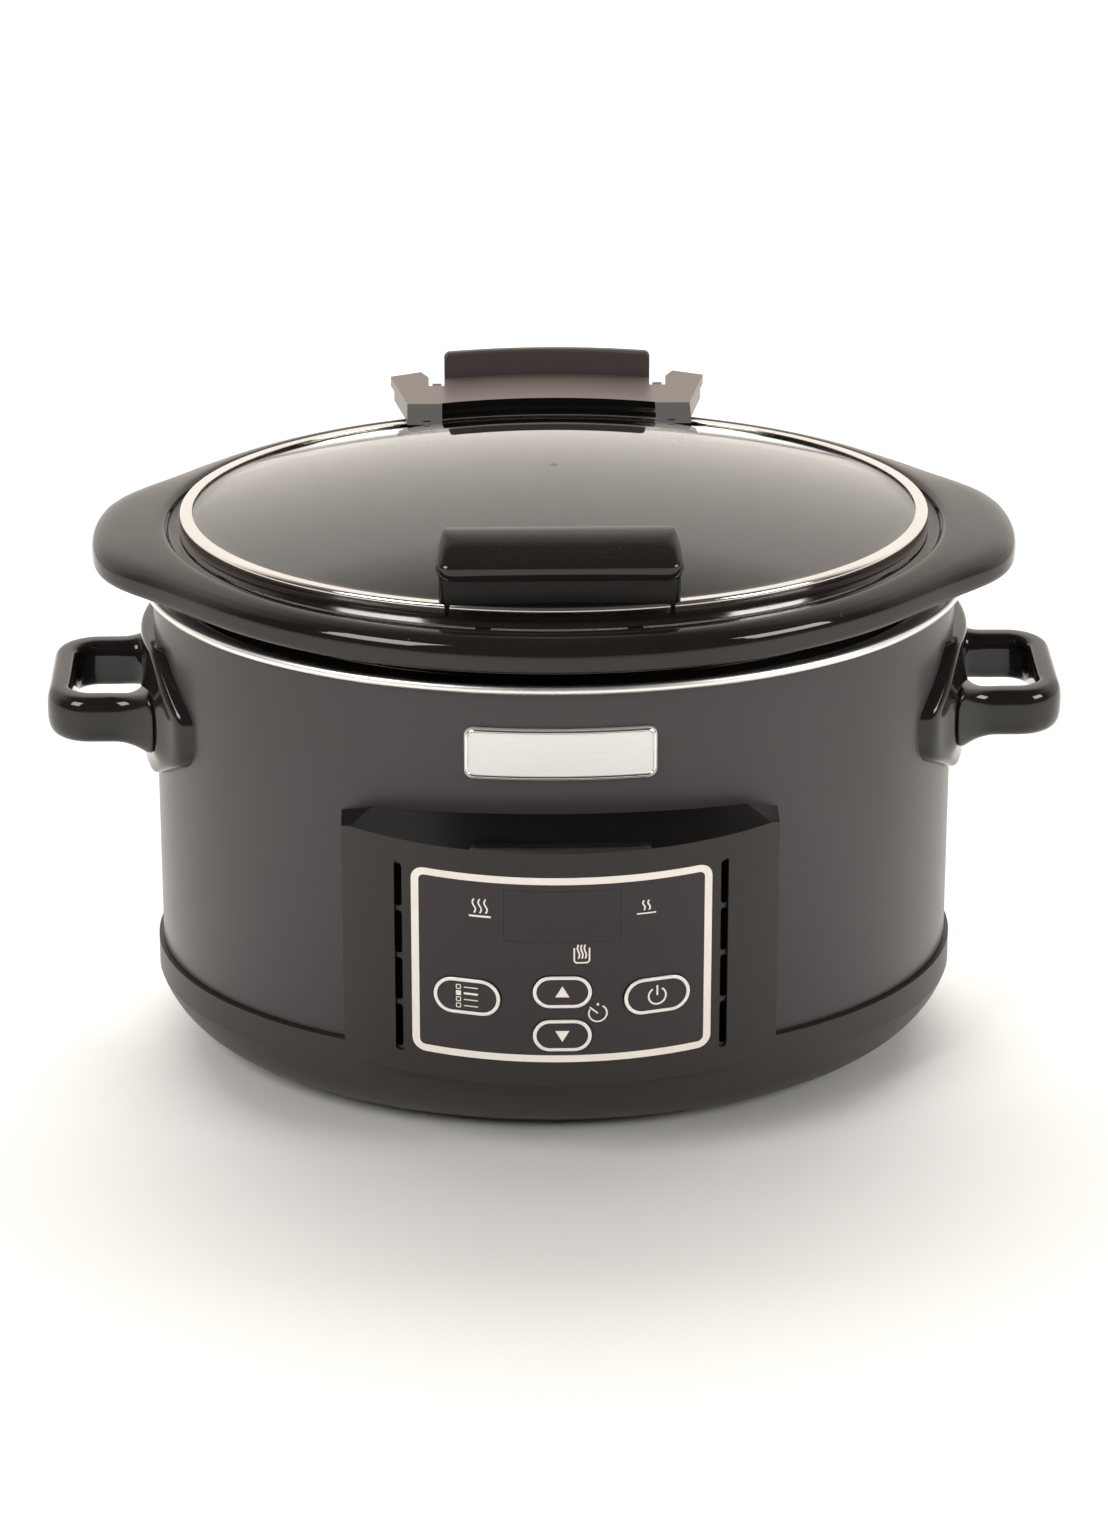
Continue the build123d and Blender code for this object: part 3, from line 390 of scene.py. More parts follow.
def plain_rubber():
    """Rubber of the feet."""
    f = Finish("plain_rubber", level=0.3)
    grain = f.group(GRAIN, Grain_Scale=900.0, Roughness=0.75, Roughness_Swing=0.1)
    color = f.tone((0.020, 0.019, 0.019), (0.035, 0.034, 0.033), 60.0, 0.7)
    return f.done(color, grain.outputs["Roughness"], f.bump(grain.outputs["Height"], 0.0001, 0.5))


def fibre_blanket():
    """Fibre blanket round the heating well."""
    f = Finish("fibre_blanket", level=0.2)
    w = f.wires
    place = w.add("ShaderNodeTexCoord").outputs["Object"]
    fibres = w.noise(420.0, 6.0, 0.75, place)
    color = f.mix(fibres, (0.60, 0.56, 0.48, 1), (0.86, 0.84, 0.79, 1))
    return f.done(color, w.spread(fibres, 0.2, 0.8, 0.85, 1.0), f.bump(fibres, 0.0006, 0.8))


def circuit_green():
    """Green circuit board with its tracks."""
    f = Finish("circuit_green", coat=0.3, coat_rough=0.15)
    w = f.wires
    place = w.add("ShaderNodeTexCoord").outputs["Object"]
    tracks = w.add("ShaderNodeTexBrick")
    tracks.inputs["Scale"].default_value = 120.0
    tracks.inputs["Mortar Size"].default_value = 0.06
    w.join(place, tracks.inputs["Vector"])
    color = f.mix(tracks.outputs["Fac"], (0.012, 0.085, 0.035, 1), (0.03, 0.16, 0.07, 1))
    return f.done(color, w.spread(tracks.outputs["Fac"], 0.0, 1.0, 0.32, 0.25),
                  f.bump(tracks.outputs["Fac"], 0.00005, 0.6))


PAINT = stoved_charcoal_paint()
BLACK_SATIN = satin_black("black_satin", (0.032, 0.026, 0.0245), (0.040, 0.033, 0.031), 0.40)
HINGE_BLACK = satin_black("hinge_black", (0.062, 0.050, 0.047), (0.072, 0.059, 0.055), 0.42)
FASCIA_FILM = satin_black("fascia_film", (0.024, 0.019, 0.020), (0.028, 0.023, 0.0235), 0.44,
                          3200.0, 0.00003, 0.4)
BUTTON_BLACK = satin_black("button_black", (0.022, 0.018, 0.018), (0.028, 0.023, 0.023), 0.40, level=0.4)
PALE_PLASTIC = satin_black("pale_plastic", (0.58, 0.56, 0.50), (0.66, 0.64, 0.58), 0.5)
MICA = satin_black("mica_sheet", (0.32, 0.24, 0.15), (0.46, 0.36, 0.24), 0.45, 500.0, 0.0002)
SMOKED = satin_black("smoked_window", (0.020, 0.016, 0.017), (0.023, 0.0185, 0.0195), 0.43, 3200.0,
                     0.00001, 0.42)
PANEL_BLACK = panel_black()
GLOSS_BLACK = polished_black("gloss_black")
GLAZE = black_glaze()
BRIGHT_TRIM = polished_steel("bright_trim", 0.36, (0.93, 0.92, 0.90))
RIM_STEEL = polished_steel("rim_steel", 0.10, (0.80, 0.78, 0.75))
SHEET_METAL = brushed_metal("rolled_sheet", (0.62, 0.61, 0.60), 0.34)
ZINC = brushed_metal("zinc_plate", (0.58, 0.58, 0.58), 0.30, 2200.0)
BADGE_FACE = brushed_metal("badge_face", (0.88, 0.87, 0.86), 0.42, 1500.0, 0.6)
GLASS = tempered_glass()
SILVER = silver_print()
SILVER_RIM = polished_steel("silver_rim", 0.34, (0.88, 0.85, 0.81), metallic=0.55)
CARRIER_BLACK_PAINTED_LIGHT = carrier_black_painted_light()
RUBBER = plain_rubber()
BLANKET = fibre_blanket()
CIRCUIT = circuit_green()

# The base tray's black is paler than the other black plastic: a painted reflection of the white floor on its
# sides.
TRAY_BLACK_WITH_PAINTED_REFLECTION = satin_black("tray_black_painted_reflection", (0.040, 0.032, 0.030), (0.048, 0.039, 0.037), 0.38, level=0.3)
PEDESTAL_BLACK = satin_black("pedestal_black", (0.006, 0.005, 0.005), (0.009, 0.008, 0.0075), 0.25, level=0.2)

SLOT_FINISH = {
    "charcoal_paint": PAINT, "black_plastic": BLACK_SATIN, "gloss_black": GLOSS_BLACK,
    "bright_trim": BRIGHT_TRIM, "well_sheet": SHEET_METAL, "steel": ZINC, "rim_steel": RIM_STEEL,
    "mica_heater": MICA, "insulation": BLANKET, "rubber": RUBBER, "circuit_board": CIRCUIT,
    "pale_plastic": PALE_PLASTIC, "fascia_film": FASCIA_FILM, "smoked_window": SMOKED,
    "button_plastic": BUTTON_BLACK, "badge_metal": BADGE_FACE, "stoneware": GLAZE,
    "lid_glass": GLASS, "hinge_plastic": HINGE_BLACK,
}

for entry in frame["record"]["subparts"]:
    node = frame["nodes"][entry["node"]]
    node.data.materials.clear()
    node.data.materials.append(SLOT_FINISH[entry["material_slot"]])
frame["nodes"]["panel_housing"].data.materials[0] = PANEL_BLACK
frame["nodes"]["hinge_carrier"].data.materials[0] = CARRIER_BLACK_PAINTED_LIGHT
frame["nodes"]["base_tray"].data.materials[0] = TRAY_BLACK_WITH_PAINTED_REFLECTION
frame["nodes"]["hinge_bracket"].data.materials[0] = HINGE_BLACK
frame["nodes"]["knob_base"].data.materials[0] = PEDESTAL_BLACK


# ================================================================ mesh helpers
def piece(name, verts, faces, material, body, stands_for=()):
    """Make a smooth mesh object that rides on a body and takes a material slot."""
    mesh = bpy.data.meshes.new(name)
    mesh.from_pydata(verts, [], faces)
    mesh.polygons.foreach_set("use_smooth", [True] * len(mesh.polygons))
    mesh.materials.append(material)
    made = bpy.data.objects.new(name, mesh)
    bpy.context.scene.collection.objects.link(made)
    bm = bmesh.new()
    bm.from_mesh(mesh)
    bmesh.ops.remove_doubles(bm, verts=bm.verts, dist=1e-7)
    bmesh.ops.recalc_face_normals(bm, faces=bm.faces)
    bm.to_mesh(mesh)
    bm.free()
    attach(made, body)
    if stands_for:
        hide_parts(*stands_for)
    return made


def rounded(points, radii, steps=6):
    """Outline whose corners are replaced by arcs; a radius of 0 keeps the corner."""
    outline = []
    count = len(points)
    for i, (point, radius) in enumerate(zip(points, radii)):
        corner = Vector(point)
        before = Vector(points[i - 1]) - corner
        after = Vector(points[(i + 1) % count]) - corner
        if radius == 0 or before.length == 0 or after.length == 0:
            outline.append(tuple(corner))
            continue
        turn = before.angle(after)
        reach = min(radius / max(1e-6, sin(turn / 2) / cos(turn / 2)), 0.49 * before.length,
                    0.49 * after.length)
        start = corner + before.normalized() * reach
        end = corner + after.normalized() * reach
        for step in range(steps + 1):
            t = step / steps
            outline.append(tuple((1 - t) ** 2 * start + 2 * t * (1 - t) * corner + t**2 * end))
    return outline


def rings(name, rows, material, body, stands_for=(), closed=False):
    """Skin over a list of closed rows of points, each with the same number; closed joins last to first."""
    count = len(rows[0])
    verts = [point for row in rows for point in row]
    faces = []
    last = len(rows) if closed else len(rows) - 1
    for r in range(last):
        a = r * count
        b = ((r + 1) % len(rows)) * count
        for i in range(count):
            j = (i + 1) % count
            faces.append((a + i, a + j, b + j, b + i))
    return piece(name, verts, faces, material, body, stands_for)


def oval_row(a, b, z, count=SEGMENTS):
    """Closed row of points round an oval."""
    turn = 2 * pi / count
    return [(a * cos(i * turn), b * sin(i * turn), z) for i in range(count)]


def turned(name, profile, ratio, material, body, stands_for=(), closed=True):
    """Oval body turned from a profile of (half width, height), squeezed front to back."""
    rows = [oval_row(max(a, 1e-5), max(a, 1e-5) * ratio, z) for a, z in profile]
    return rings(name, rows, material, body, stands_for, closed)


# ================================================================ housing
def shell_and_ring():
    """Painted wrap with a rolled top edge, and the bright bead that sits on it."""
    thick = 0.8 * MM
    ratio = SHELL_B / SHELL_A
    profile = rounded(
        [(SHELL_A, SHELL_LOW), (SHELL_A, SHELL_TOP), (SHELL_A - thick, SHELL_TOP),
         (SHELL_A - thick, SHELL_LOW)],
        [0.3 * MM] * 4, 3)
    turned("outer_shell_wrap", profile, ratio, PAINT, "housing", ["outer_shell"])
    bead = 1.85 * MM
    middle_a = RING_A - bead
    middle_z = RING_TOP - bead
    ring = []
    for step in range(25):
        turn = radians(-150 + 12.5 * step)
        ring.append((middle_a + bead * cos(turn), middle_z + bead * sin(turn)))
    inner = RING_A - 9.6 * MM
    ring += [(inner, middle_z - 0.1 * MM), (inner, middle_z - 1.1 * MM)]
    turned("trim_bead", ring, RING_B / RING_A, BRIGHT_TRIM, "housing", ["trim_ring"])


shell_and_ring()


# ================================================================ crock
def lug_swell(angle):
    """How far a side lug stands out, from 0 at the front and back to 1 at the sides."""
    around = abs(degrees(angle)) % 180
    swing = min(around, 180 - around)
    return 1 / (1 + (swing / 17.5) ** 5)


def crock_row(a, b, z, lug=0.0, count=SEGMENTS * 2):
    """Closed row round the crock, swollen by lug metres at the two sides."""
    row = []
    for i in range(count):
        angle = 2 * pi * i / count
        reach = 1 / sqrt((cos(angle) / a) ** 2 + (sin(angle) / b) ** 2) + lug * lug_swell(angle)
        row.append((reach * cos(angle), reach * sin(angle), z))
    return row


def stoneware_crock():
    """Glazed crock with its two lugs and the recess for the lid."""
    rim_b = CROCK_B
    rim_a = 172.5 * MM
    lug = CROCK_A - rim_a
    low = CROCK_LOW
    rim_low = CROCK_TOP - 14.5 * MM
    rim_top = CROCK_TOP - 3 * MM
    recess = 221.6 * MM
    body_ratio = SHELL_B / SHELL_A
    hollow_ratio = 111 / 147

    # (half width, half depth, height, lug, rounding)
    def wall(a, z, r, ratio=body_ratio):
        return (a * MM, a * ratio * MM, z, 0.0, r * MM)

    stations = [
        wall(0.01, low + 2.15 * MM, 0),
        wall(112, low + 2.15 * MM, 1),
        wall(114, low, 1),
        wall(140, low, 12),
        wall(148.6, 82 * MM, 12),
        wall(153.4, rim_low + 0.2 * MM, 1.5),
        (rim_a - 3 * MM, rim_b - 3 * MM, rim_low, lug, 1.0 * MM),
        (rim_a + 0.1 * MM, rim_b + 0.1 * MM, rim_low + 1.5 * MM, lug, 2.5 * MM),
        (rim_a - 0.4 * MM, rim_b - 0.4 * MM, rim_top, lug, 5 * MM),
        (164.5 * MM, 134.5 * MM, CROCK_TOP - 0.1 * MM, 0.10 * lug, 5 * MM),
        (160.6 * MM, 131.1 * MM, CROCK_TOP, 0.0, 1.6 * MM),
        (159.0 * MM, 129.5 * MM, recess, 0.0, 2.0 * MM),
        wall(147.4, recess, 1.6, hollow_ratio),
        wall(146.4, recess - 8 * MM, 2, hollow_ratio),
        wall(139.5, 86 * MM, 14, hollow_ratio),
        wall(128, 71.6 * MM, 12, hollow_ratio),
        wall(0.01, 71.6 * MM, 0, hollow_ratio),
    ]
    rows = []
    for i, station in enumerate(stations):
        here = Vector(station[:4])
        r = station[4]
        if r == 0:
            rows.append(crock_row(*here))
            continue
        before = Vector(stations[i - 1][:4]) - here
        after = Vector(stations[i + 1][:4]) - here
        start = here + before * min(0.47, r / Vector((before[0], before[2])).length)
        end = here + after * min(0.47, r / Vector((after[0], after[2])).length)
        for step in range(7):
            t = step / 6
            rows.append(crock_row(*((1 - t) ** 2 * start + 2 * t * (1 - t) * here + t**2 * end)))
    rings("crock_glazed", rows, GLAZE, "crock", ["crock"])


stoneware_crock()


# ================================================================ lid
def dome_height(a):
    """Top surface of the glass at a distance from its middle along X."""
    edge = 148 * MM
    rise = GLASS_TOP - (LID_TOP - 1 * MM)
    dome_r = (edge**2 + rise**2) / (2 * rise)
    return GLASS_TOP - dome_r + sqrt(dome_r**2 - a**2)


def glass_and_rim():
    """Domed lid glass and the steel rim round it."""
    ratio = LID_B / LID_A
    thick = 3.6 * MM
    top = [(a * MM, dome_height(a * MM)) for a in range(0, 149, 4)]
    edge = rounded([(151 * MM, LID_TOP - 1.0 * MM), (153.2 * MM, LID_TOP - 1.0 * MM),
                    (153.2 * MM, LID_TOP - 4.2 * MM), (149 * MM, LID_TOP - 4.2 * MM)],
                   [0, 1.2 * MM, 1.2 * MM, 0], 4)
    under = [(a * MM, dome_height(a * MM) - thick) for a in range(146, -1, -4)]
    turned("lid_dome_glass", top + edge + under, ratio, GLASS, "lid", ["lid_glass"], False)

    # rolled steel band, C-shaped round the glass's edge
    band = rounded(
        [(LID_A - 0.8 * MM, LID_LOW), (LID_A, LID_LOW), (LID_A, LID_TOP), (148.9 * MM, LID_TOP),
         (148.9 * MM, LID_TOP - 0.8 * MM), (LID_A - 0.8 * MM, LID_TOP - 0.8 * MM),
         (LID_A - 0.8 * MM, LID_TOP - 4.4 * MM), (149.5 * MM, LID_TOP - 4.4 * MM),
         (149.5 * MM, LID_TOP - 5.2 * MM), (LID_A - 0.8 * MM, LID_TOP - 5.2 * MM)],
        [0.3 * MM, 0.4 * MM, 1.8 * MM, 0.38 * MM, 0.38 * MM, 1.0 * MM, 0, 0.3 * MM, 0.3 * MM, 0], 5)
    turned("lid_rim_band", band, ratio, RIM_STEEL, "lid", ["lid_rim"])


glass_and_rim()


# ================================================================ control panel print
def on_panel(x, z, out):
    """Point at x, z on the panel's curved front, standing out from it."""
    reach = PANEL_R + out
    return (x, PANEL_Y - sqrt(reach**2 - x**2), z)


INK = 0.09 * MM  # how far the print stands out
SKIN = 0.03 * MM


def strip(points, width, closed=False):
    """Flat outline pair, left and right of a line, as rows of (left, right) points."""
    rows = []
    count = len(points)
    for i, point in enumerate(points):
        here = Vector(point)
        if closed:
            before = Vector(points[i - 1])
            after = Vector(points[(i + 1) % count])
        else:
            before = Vector(points[max(i - 1, 0)])
            after = Vector(points[min(i + 1, count - 1)])
        along = (after - before).normalized()
        side = Vector((-along.y, along.x)) * width / 2
        rows.append((here + side, here - side))
    return rows


def printed(name, shapes, material, body, place=on_panel):
    """Thin raised print from strips (rows of pairs) and filled outlines, laid out by place."""
    verts = []
    faces = []
    for kind, rows in shapes:
        if kind == "fill":
            start = len(verts)
            count = len(rows)
            verts += [place(x, z, INK) for x, z in rows]
            verts += [place(x, z, -SKIN) for x, z in rows]
            faces.append(tuple(start + i for i in range(count)))
            faces.append(tuple(start + count + i for i in reversed(range(count))))
            for i in range(count):
                j = (i + 1) % count
                faces.append((start + i, start + j, start + count + j, start + count + i))
            continue
        start = len(verts)
        for left, right in rows:
            verts += [place(left.x, left.y, -SKIN), place(left.x, left.y, INK),
                      place(right.x, right.y, INK), place(right.x, right.y, -SKIN)]
        closed = kind == "loop"
        last = len(rows) if closed else len(rows) - 1
        for r in range(last):
            a = start + 4 * r
            b = start + 4 * ((r + 1) % len(rows))
            for i in range(4):
                j = (i + 1) % 4
                faces.append((a + i, a + j, b + j, b + i))
        if not closed:
            faces.append(tuple(start + i for i in range(4)))
            end = start + 4 * (len(rows) - 1)
            faces.append(tuple(end + i for i in reversed(range(4))))
    made = piece(name, verts, faces, material, body)
    made.data.polygons.foreach_set("use_smooth", [False] * len(made.data.polygons))
    return made


def between(start, end, steps=2):
    """Evenly spaced points of a straight line."""
    return [(start[0] + (end[0] - start[0]) * i / steps, start[1] + (end[1] - start[1]) * i / steps)
            for i in range(steps + 1)]


def arc(x, z, radius, start, end, steps=20):
    """Points of an arc, angles in degrees from +X."""
    turns = [radians(start + (end - start) * i / steps) for i in range(steps + 1)]
    return [(x + radius * cos(t), z + radius * sin(t)) for t in turns]


def rounded_box(x, z, wide, tall, radius, steps=6, along=12):
    """Closed outline of a rounded rectangle with points along its long sides, so that it can bend."""
    right, left = x + wide / 2, x - wide / 2
    top, low = z + tall / 2, z - tall / 2
    outline = arc(right - radius, top - radius, radius, 0, 90, steps)
    outline += between((right - radius, top), (left + radius, top), along)[1:-1]
    outline += arc(left + radius, top - radius, radius, 90, 180, steps)
    outline += between((left, top - radius), (left, low + radius), along)[1:-1]
    outline += arc(left + radius, low + radius, radius, 180, 270, steps)
    outline += between((left + radius, low), (right - radius, low), along)[1:-1]
    outline += arc(right - radius, low + radius, radius, 270, 360, steps)
    outline += between((right, low + radius), (right, top - radius), along)[1:-1]
    return outline


def wave(x, z, tall, swing, steps=16):
    """Upright S-shaped heat wave."""
    return [(x + swing * sin(2 * pi * i / steps), z - tall / 2 + tall * i / steps)
            for i in range(steps + 1)]


def printed_marks():
    """Silver border and the heat, warm and timer signs on the fascia."""
    low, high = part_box("control_fascia")
    middle_z = (low.z + high.z) / 2
    wide = high.x - low.x
    tall = high.z - low.z
    line = 3.0 * MM
    border = rounded_box(0, middle_z, wide - line, tall - line, 3.8 * MM, 6, 24)
    printed("silver_border", [("loop", strip(border, line, True))], SILVER, "housing")

    pen = 0.62 * MM

    def waves(x, z, count, gap, tall, swing):
        first = x - gap * (count - 1) / 2
        return [("line", strip(wave(first + gap * i, z, tall, swing), pen)) for i in range(count)]

    high_x, high_z = -32.4 * MM, 119.8 * MM
    shapes = waves(high_x, high_z, 3, 2.3 * MM, 6.0 * MM, 0.6 * MM)
    shapes.append(("line", strip(between((high_x - 4.3 * MM, high_z - 4.4 * MM),
                                         (high_x + 4.3 * MM, high_z - 4.4 * MM)), 0.8 * MM)))
    printed("sign_high", shapes, SILVER, "housing")

    low_x, low_z = 33.2 * MM, 119.6 * MM
    shapes = waves(low_x, low_z, 2, 2.0 * MM, 4.2 * MM, 0.45 * MM)
    shapes.append(("line", strip(between((low_x - 3.8 * MM, low_z - 3.5 * MM),
                                         (low_x + 3.8 * MM, low_z - 3.5 * MM)), 0.55 * MM)))
    printed("sign_low", shapes, SILVER, "housing")

    warm_x, warm_z = 7.7 * MM, 100.4 * MM
    shapes = waves(warm_x, warm_z + 1.0 * MM, 3, 1.35 * MM, 6.0 * MM, 0.4 * MM)
    pot = between((warm_x - 3.0 * MM, warm_z + 2.6 * MM), (warm_x - 3.0 * MM, warm_z - 2.4 * MM))
    pot += arc(warm_x - 1.8 * MM, warm_z - 2.6 * MM, 1.2 * MM, 180, 270, 5)
    pot += arc(warm_x + 1.8 * MM, warm_z - 2.6 * MM, 1.2 * MM, 270, 360, 5)
    pot += [(warm_x + 3.0 * MM, warm_z + 2.6 * MM)]
    shapes.append(("line", strip(pot, pen)))
    printed("sign_warm", shapes, SILVER, "housing")

    timer_x, timer_z = 14.1 * MM, 74.2 * MM
    shapes = [("line", strip(arc(timer_x, timer_z, 3.6 * MM, 150, 418, 28), pen)),
              ("line", strip(between((timer_x - 3.2 * MM, timer_z + 2.8 * MM), (timer_x, timer_z)), pen)),
              ("line", strip(between((timer_x, timer_z + 3.4 * MM), (timer_x, timer_z + 4.4 * MM)),
                             0.9 * MM))]
    printed("sign_timer", shapes, SILVER, "housing")


printed_marks()

# button: width, height, x and z of its middle on the panel
BUTTONS = {
    "button_menu": (27.4 * MM, 15.6 * MM, -37.6 * MM, 80.0 * MM),
    "button_up": (23.4 * MM, 13.8 * MM, 0.0, 84.0 * MM),
    "button_down": (23.4 * MM, 13.8 * MM, 0.0, 65.0 * MM),
    "button_power": (27.4 * MM, 15.6 * MM, 37.6 * MM, 80.0 * MM),
}
BUTTON_PROUD = 0.5 * MM


def button_face(name):
    """Function that puts u across, v up and out of a button's flat face into the room."""
    wide, tall, x, z = BUTTONS[name]
    turn = asin(x / PANEL_R)
    middle = Vector((x, PANEL_Y - PANEL_R * cos(turn), z))
    across = Vector((cos(turn), sin(turn), 0))
    outward = Vector((sin(turn), -cos(turn), 0))

    def place(u, v, out):
        return tuple(middle + across * u + Vector((0, 0, v)) + outward * (BUTTON_PROUD + out))

    return place


def slot_outline(wide, tall, steps=14):
    """Closed outline of an oval slot lying on its side."""
    r = tall / 2
    flat = wide / 2 - r
    outline = arc(flat, 0, r, -90, 90, steps)
    outline += between((flat, r), (-flat, r), 4)[1:-1]
    outline += arc(-flat, 0, r, 90, 270, steps)
    outline += between((-flat, -r), (flat, -r), 4)[1:-1]
    return outline


def button_marks(name):
    """Sign printed on a button's face."""
    pen = 0.72 * MM
    if name == "button_power":
        return [("line", strip(arc(0, -0.3 * MM, 3.6 * MM, 122, 418, 28), pen)),
                ("line", strip(between((0, 0), (0, 4.3 * MM)), pen))]
    if name in ("button_up", "button_down"):
        way = 1 if name == "button_up" else -1
        return [("fill", [(-2.8 * MM, -way * 2.1 * MM), (2.8 * MM, -way * 2.1 * MM), (0, way * 2.7 * MM)])]
    shapes = []
    for row in range(4):
        level = (1.5 - row) * 2.7 * MM
        thick = 0.85 * MM if row == 1 else 0.42 * MM
        shapes.append(("line", strip(between((-1.2 * MM, level), (4.6 * MM, level)), thick)))
        if row == 1:
            shapes.append(("fill", shifted(rounded_box(0, 0, 2.1 * MM, 2.1 * MM, 0.2 * MM, 2, 2), level)))
        else:
            box_line = shifted(rounded_box(0, 0, 1.7 * MM, 1.7 * MM, 0.2 * MM, 2, 2), level)
            shapes.append(("loop", strip(box_line, 0.36 * MM, True)))
    return shapes


def shifted(outline, level):
    """The menu sign's little box, moved to the left of its line."""
    return [(u - 3.4 * MM, v + level) for u, v in outline]


def button_trim():
    """Silver rim round every button's edge, and the sign on its face."""
    line = 1.5 * MM
    for name, (wide, tall, x, z) in BUTTONS.items():
        face = button_face(name)
        rows = strip(slot_outline(wide - line, tall - line), line, True)
        section = ((1.0, -0.5), (1.0, -0.06), (0.8, 0.06), (0.35, 0.10), (-0.35, 0.10), (-0.8, 0.06),
                   (-1.0, -0.02))
        verts = []
        faces = []
        for left, right in rows:
            middle = (left + right) / 2
            outer, inner = (left, right) if left.length > right.length else (right, left)
            for share, out in section:
                point = middle + (outer - middle) * share
                verts.append(face(point.x, point.y, out * MM))
        count = len(section)
        for r in range(len(rows)):
            first = count * r
            second = count * ((r + 1) % len(rows))
            for i in range(count):
                j = (i + 1) % count
                faces.append((first + i, first + j, second + j, second + i))
        piece(f"{name}_rim", verts, faces, SILVER_RIM, name)
        printed(f"{name}_sign", button_marks(name), SILVER, name, face)


button_trim()


# ================================================================ badge
def on_shell(x, z, out):
    """Point in front of the painted shell, standing out from it."""
    a, b = SHELL_A + out, SHELL_B + out
    return (x, -b * sqrt(1 - (x / a) ** 2), z)


def badge_bezel():
    """Polished bead round the blank badge."""
    low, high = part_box("badge")
    middle = (low.z + high.z) / 2
    wide, tall = high.x - low.x, high.z - low.z
    bead = 1.7 * MM
    outline = rounded_box(0, middle, wide - bead, tall - bead, 3.0 * MM, 8, 30)
    verts = []
    faces = []
    steps = 10
    for left, right in strip(outline, bead, True):
        centre = (left + right) / 2
        for i in range(steps + 1):
            turn = pi * i / steps
            point = centre + (left - centre) * cos(turn)
            verts.append(on_shell(point.x, point.y, (1.3 + 1.5 * sin(turn)) * MM))
    count = steps + 1
    for r in range(len(outline)):
        first = count * r
        second = count * ((r + 1) % len(outline))
        for i in range(count):
            j = (i + 1) % count
            faces.append((first + i, first + j, second + j, second + i))
    piece("badge_bezel", verts, faces, RIM_STEEL, "housing")


badge_bezel()


# ================================================================ knob
def cushion(name, low, high, corner, rounds, material, body, stands_for):
    """Bar between two corners; rounds are how far its front, back, ends and foot draw in."""
    front_in, back_in, end_in, foot_in = rounds
    belly = low.z + 0.40 * (high.z - low.z)
    rows = []
    for step in range(-8, 15):
        turn = pi / 2 * step / (8 if step < 0 else 14)
        draw = 1 - cos(turn)
        if step < 0:
            front, back, end = foot_in * draw, foot_in * draw, foot_in * draw
            z = belly + (belly - low.z) * sin(turn)
        else:
            slope = 1 - max(cos(turn), 0) ** 1.45
            front, back, end = front_in * slope, back_in * draw, end_in * draw
            z = belly + (high.z - belly) * sin(turn) ** 1.3
        y_low, y_high = low.y + front, high.y - back
        outline = rounded_box(0, (y_low + y_high) / 2, high.x - low.x - 2 * end, y_high - y_low,
                              min(corner, 0.49 * (y_high - y_low)), 8, 20)
        rows.append([(x, y, z) for x, y in outline])
    made = rings(name, rows, material, body, stands_for)
    close_ends(made)
    return made


def close_ends(made):
    """Fill the open rims of a skin and keep its smooth shading."""
    bm = bmesh.new()
    bm.from_mesh(made.data)
    bmesh.ops.holes_fill(bm, edges=[edge for edge in bm.edges if edge.is_boundary], sides=0)
    bmesh.ops.recalc_face_normals(bm, faces=bm.faces)
    bm.to_mesh(made.data)
    bm.free()
    made.data.polygons.foreach_set("use_smooth", [True] * len(made.data.polygons))


def knob():
    """Grip moulding of the knob, with its sloped front."""
    low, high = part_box("knob_grip")
    cushion("knob_grip_polished", low, high, 6 * MM, (20 * MM, 3 * MM, 4 * MM, 2.5 * MM), GLOSS_BLACK,
            "lid", ["knob_grip"])


knob()


# ================================================================ side handles
def loop_outline(root, end, half, root_round, end_round, steps=10, along=14):
    """Closed outline of a handle seen from above; its two roots and its two ends have own roundings."""
    outline = arc(end - end_round, half - end_round, end_round, 0, 90, steps)
    outline += between((end - end_round, half), (root + root_round, half), along)[1:-1]
    outline += arc(root + root_round, half - root_round, root_round, 90, 180, steps)
    outline += between((root, half - root_round), (root, root_round - half), along)[1:-1]
    outline += arc(root + root_round, root_round - half, root_round, 180, 270, steps)
    outline += between((root + root_round, -half), (end - end_round, -half), along)[1:-1]
    outline += arc(end - end_round, end_round - half, end_round, 270, 360, steps)
    outline += between((end, end_round - half), (end, half - end_round), along)[1:-1]
    return outline


ROOT_SWELL = 3.2  # the flange swells this much, in mm, where the grip grows out of it
ROOT_SPREAD = 60  # square mm over which the swell fades


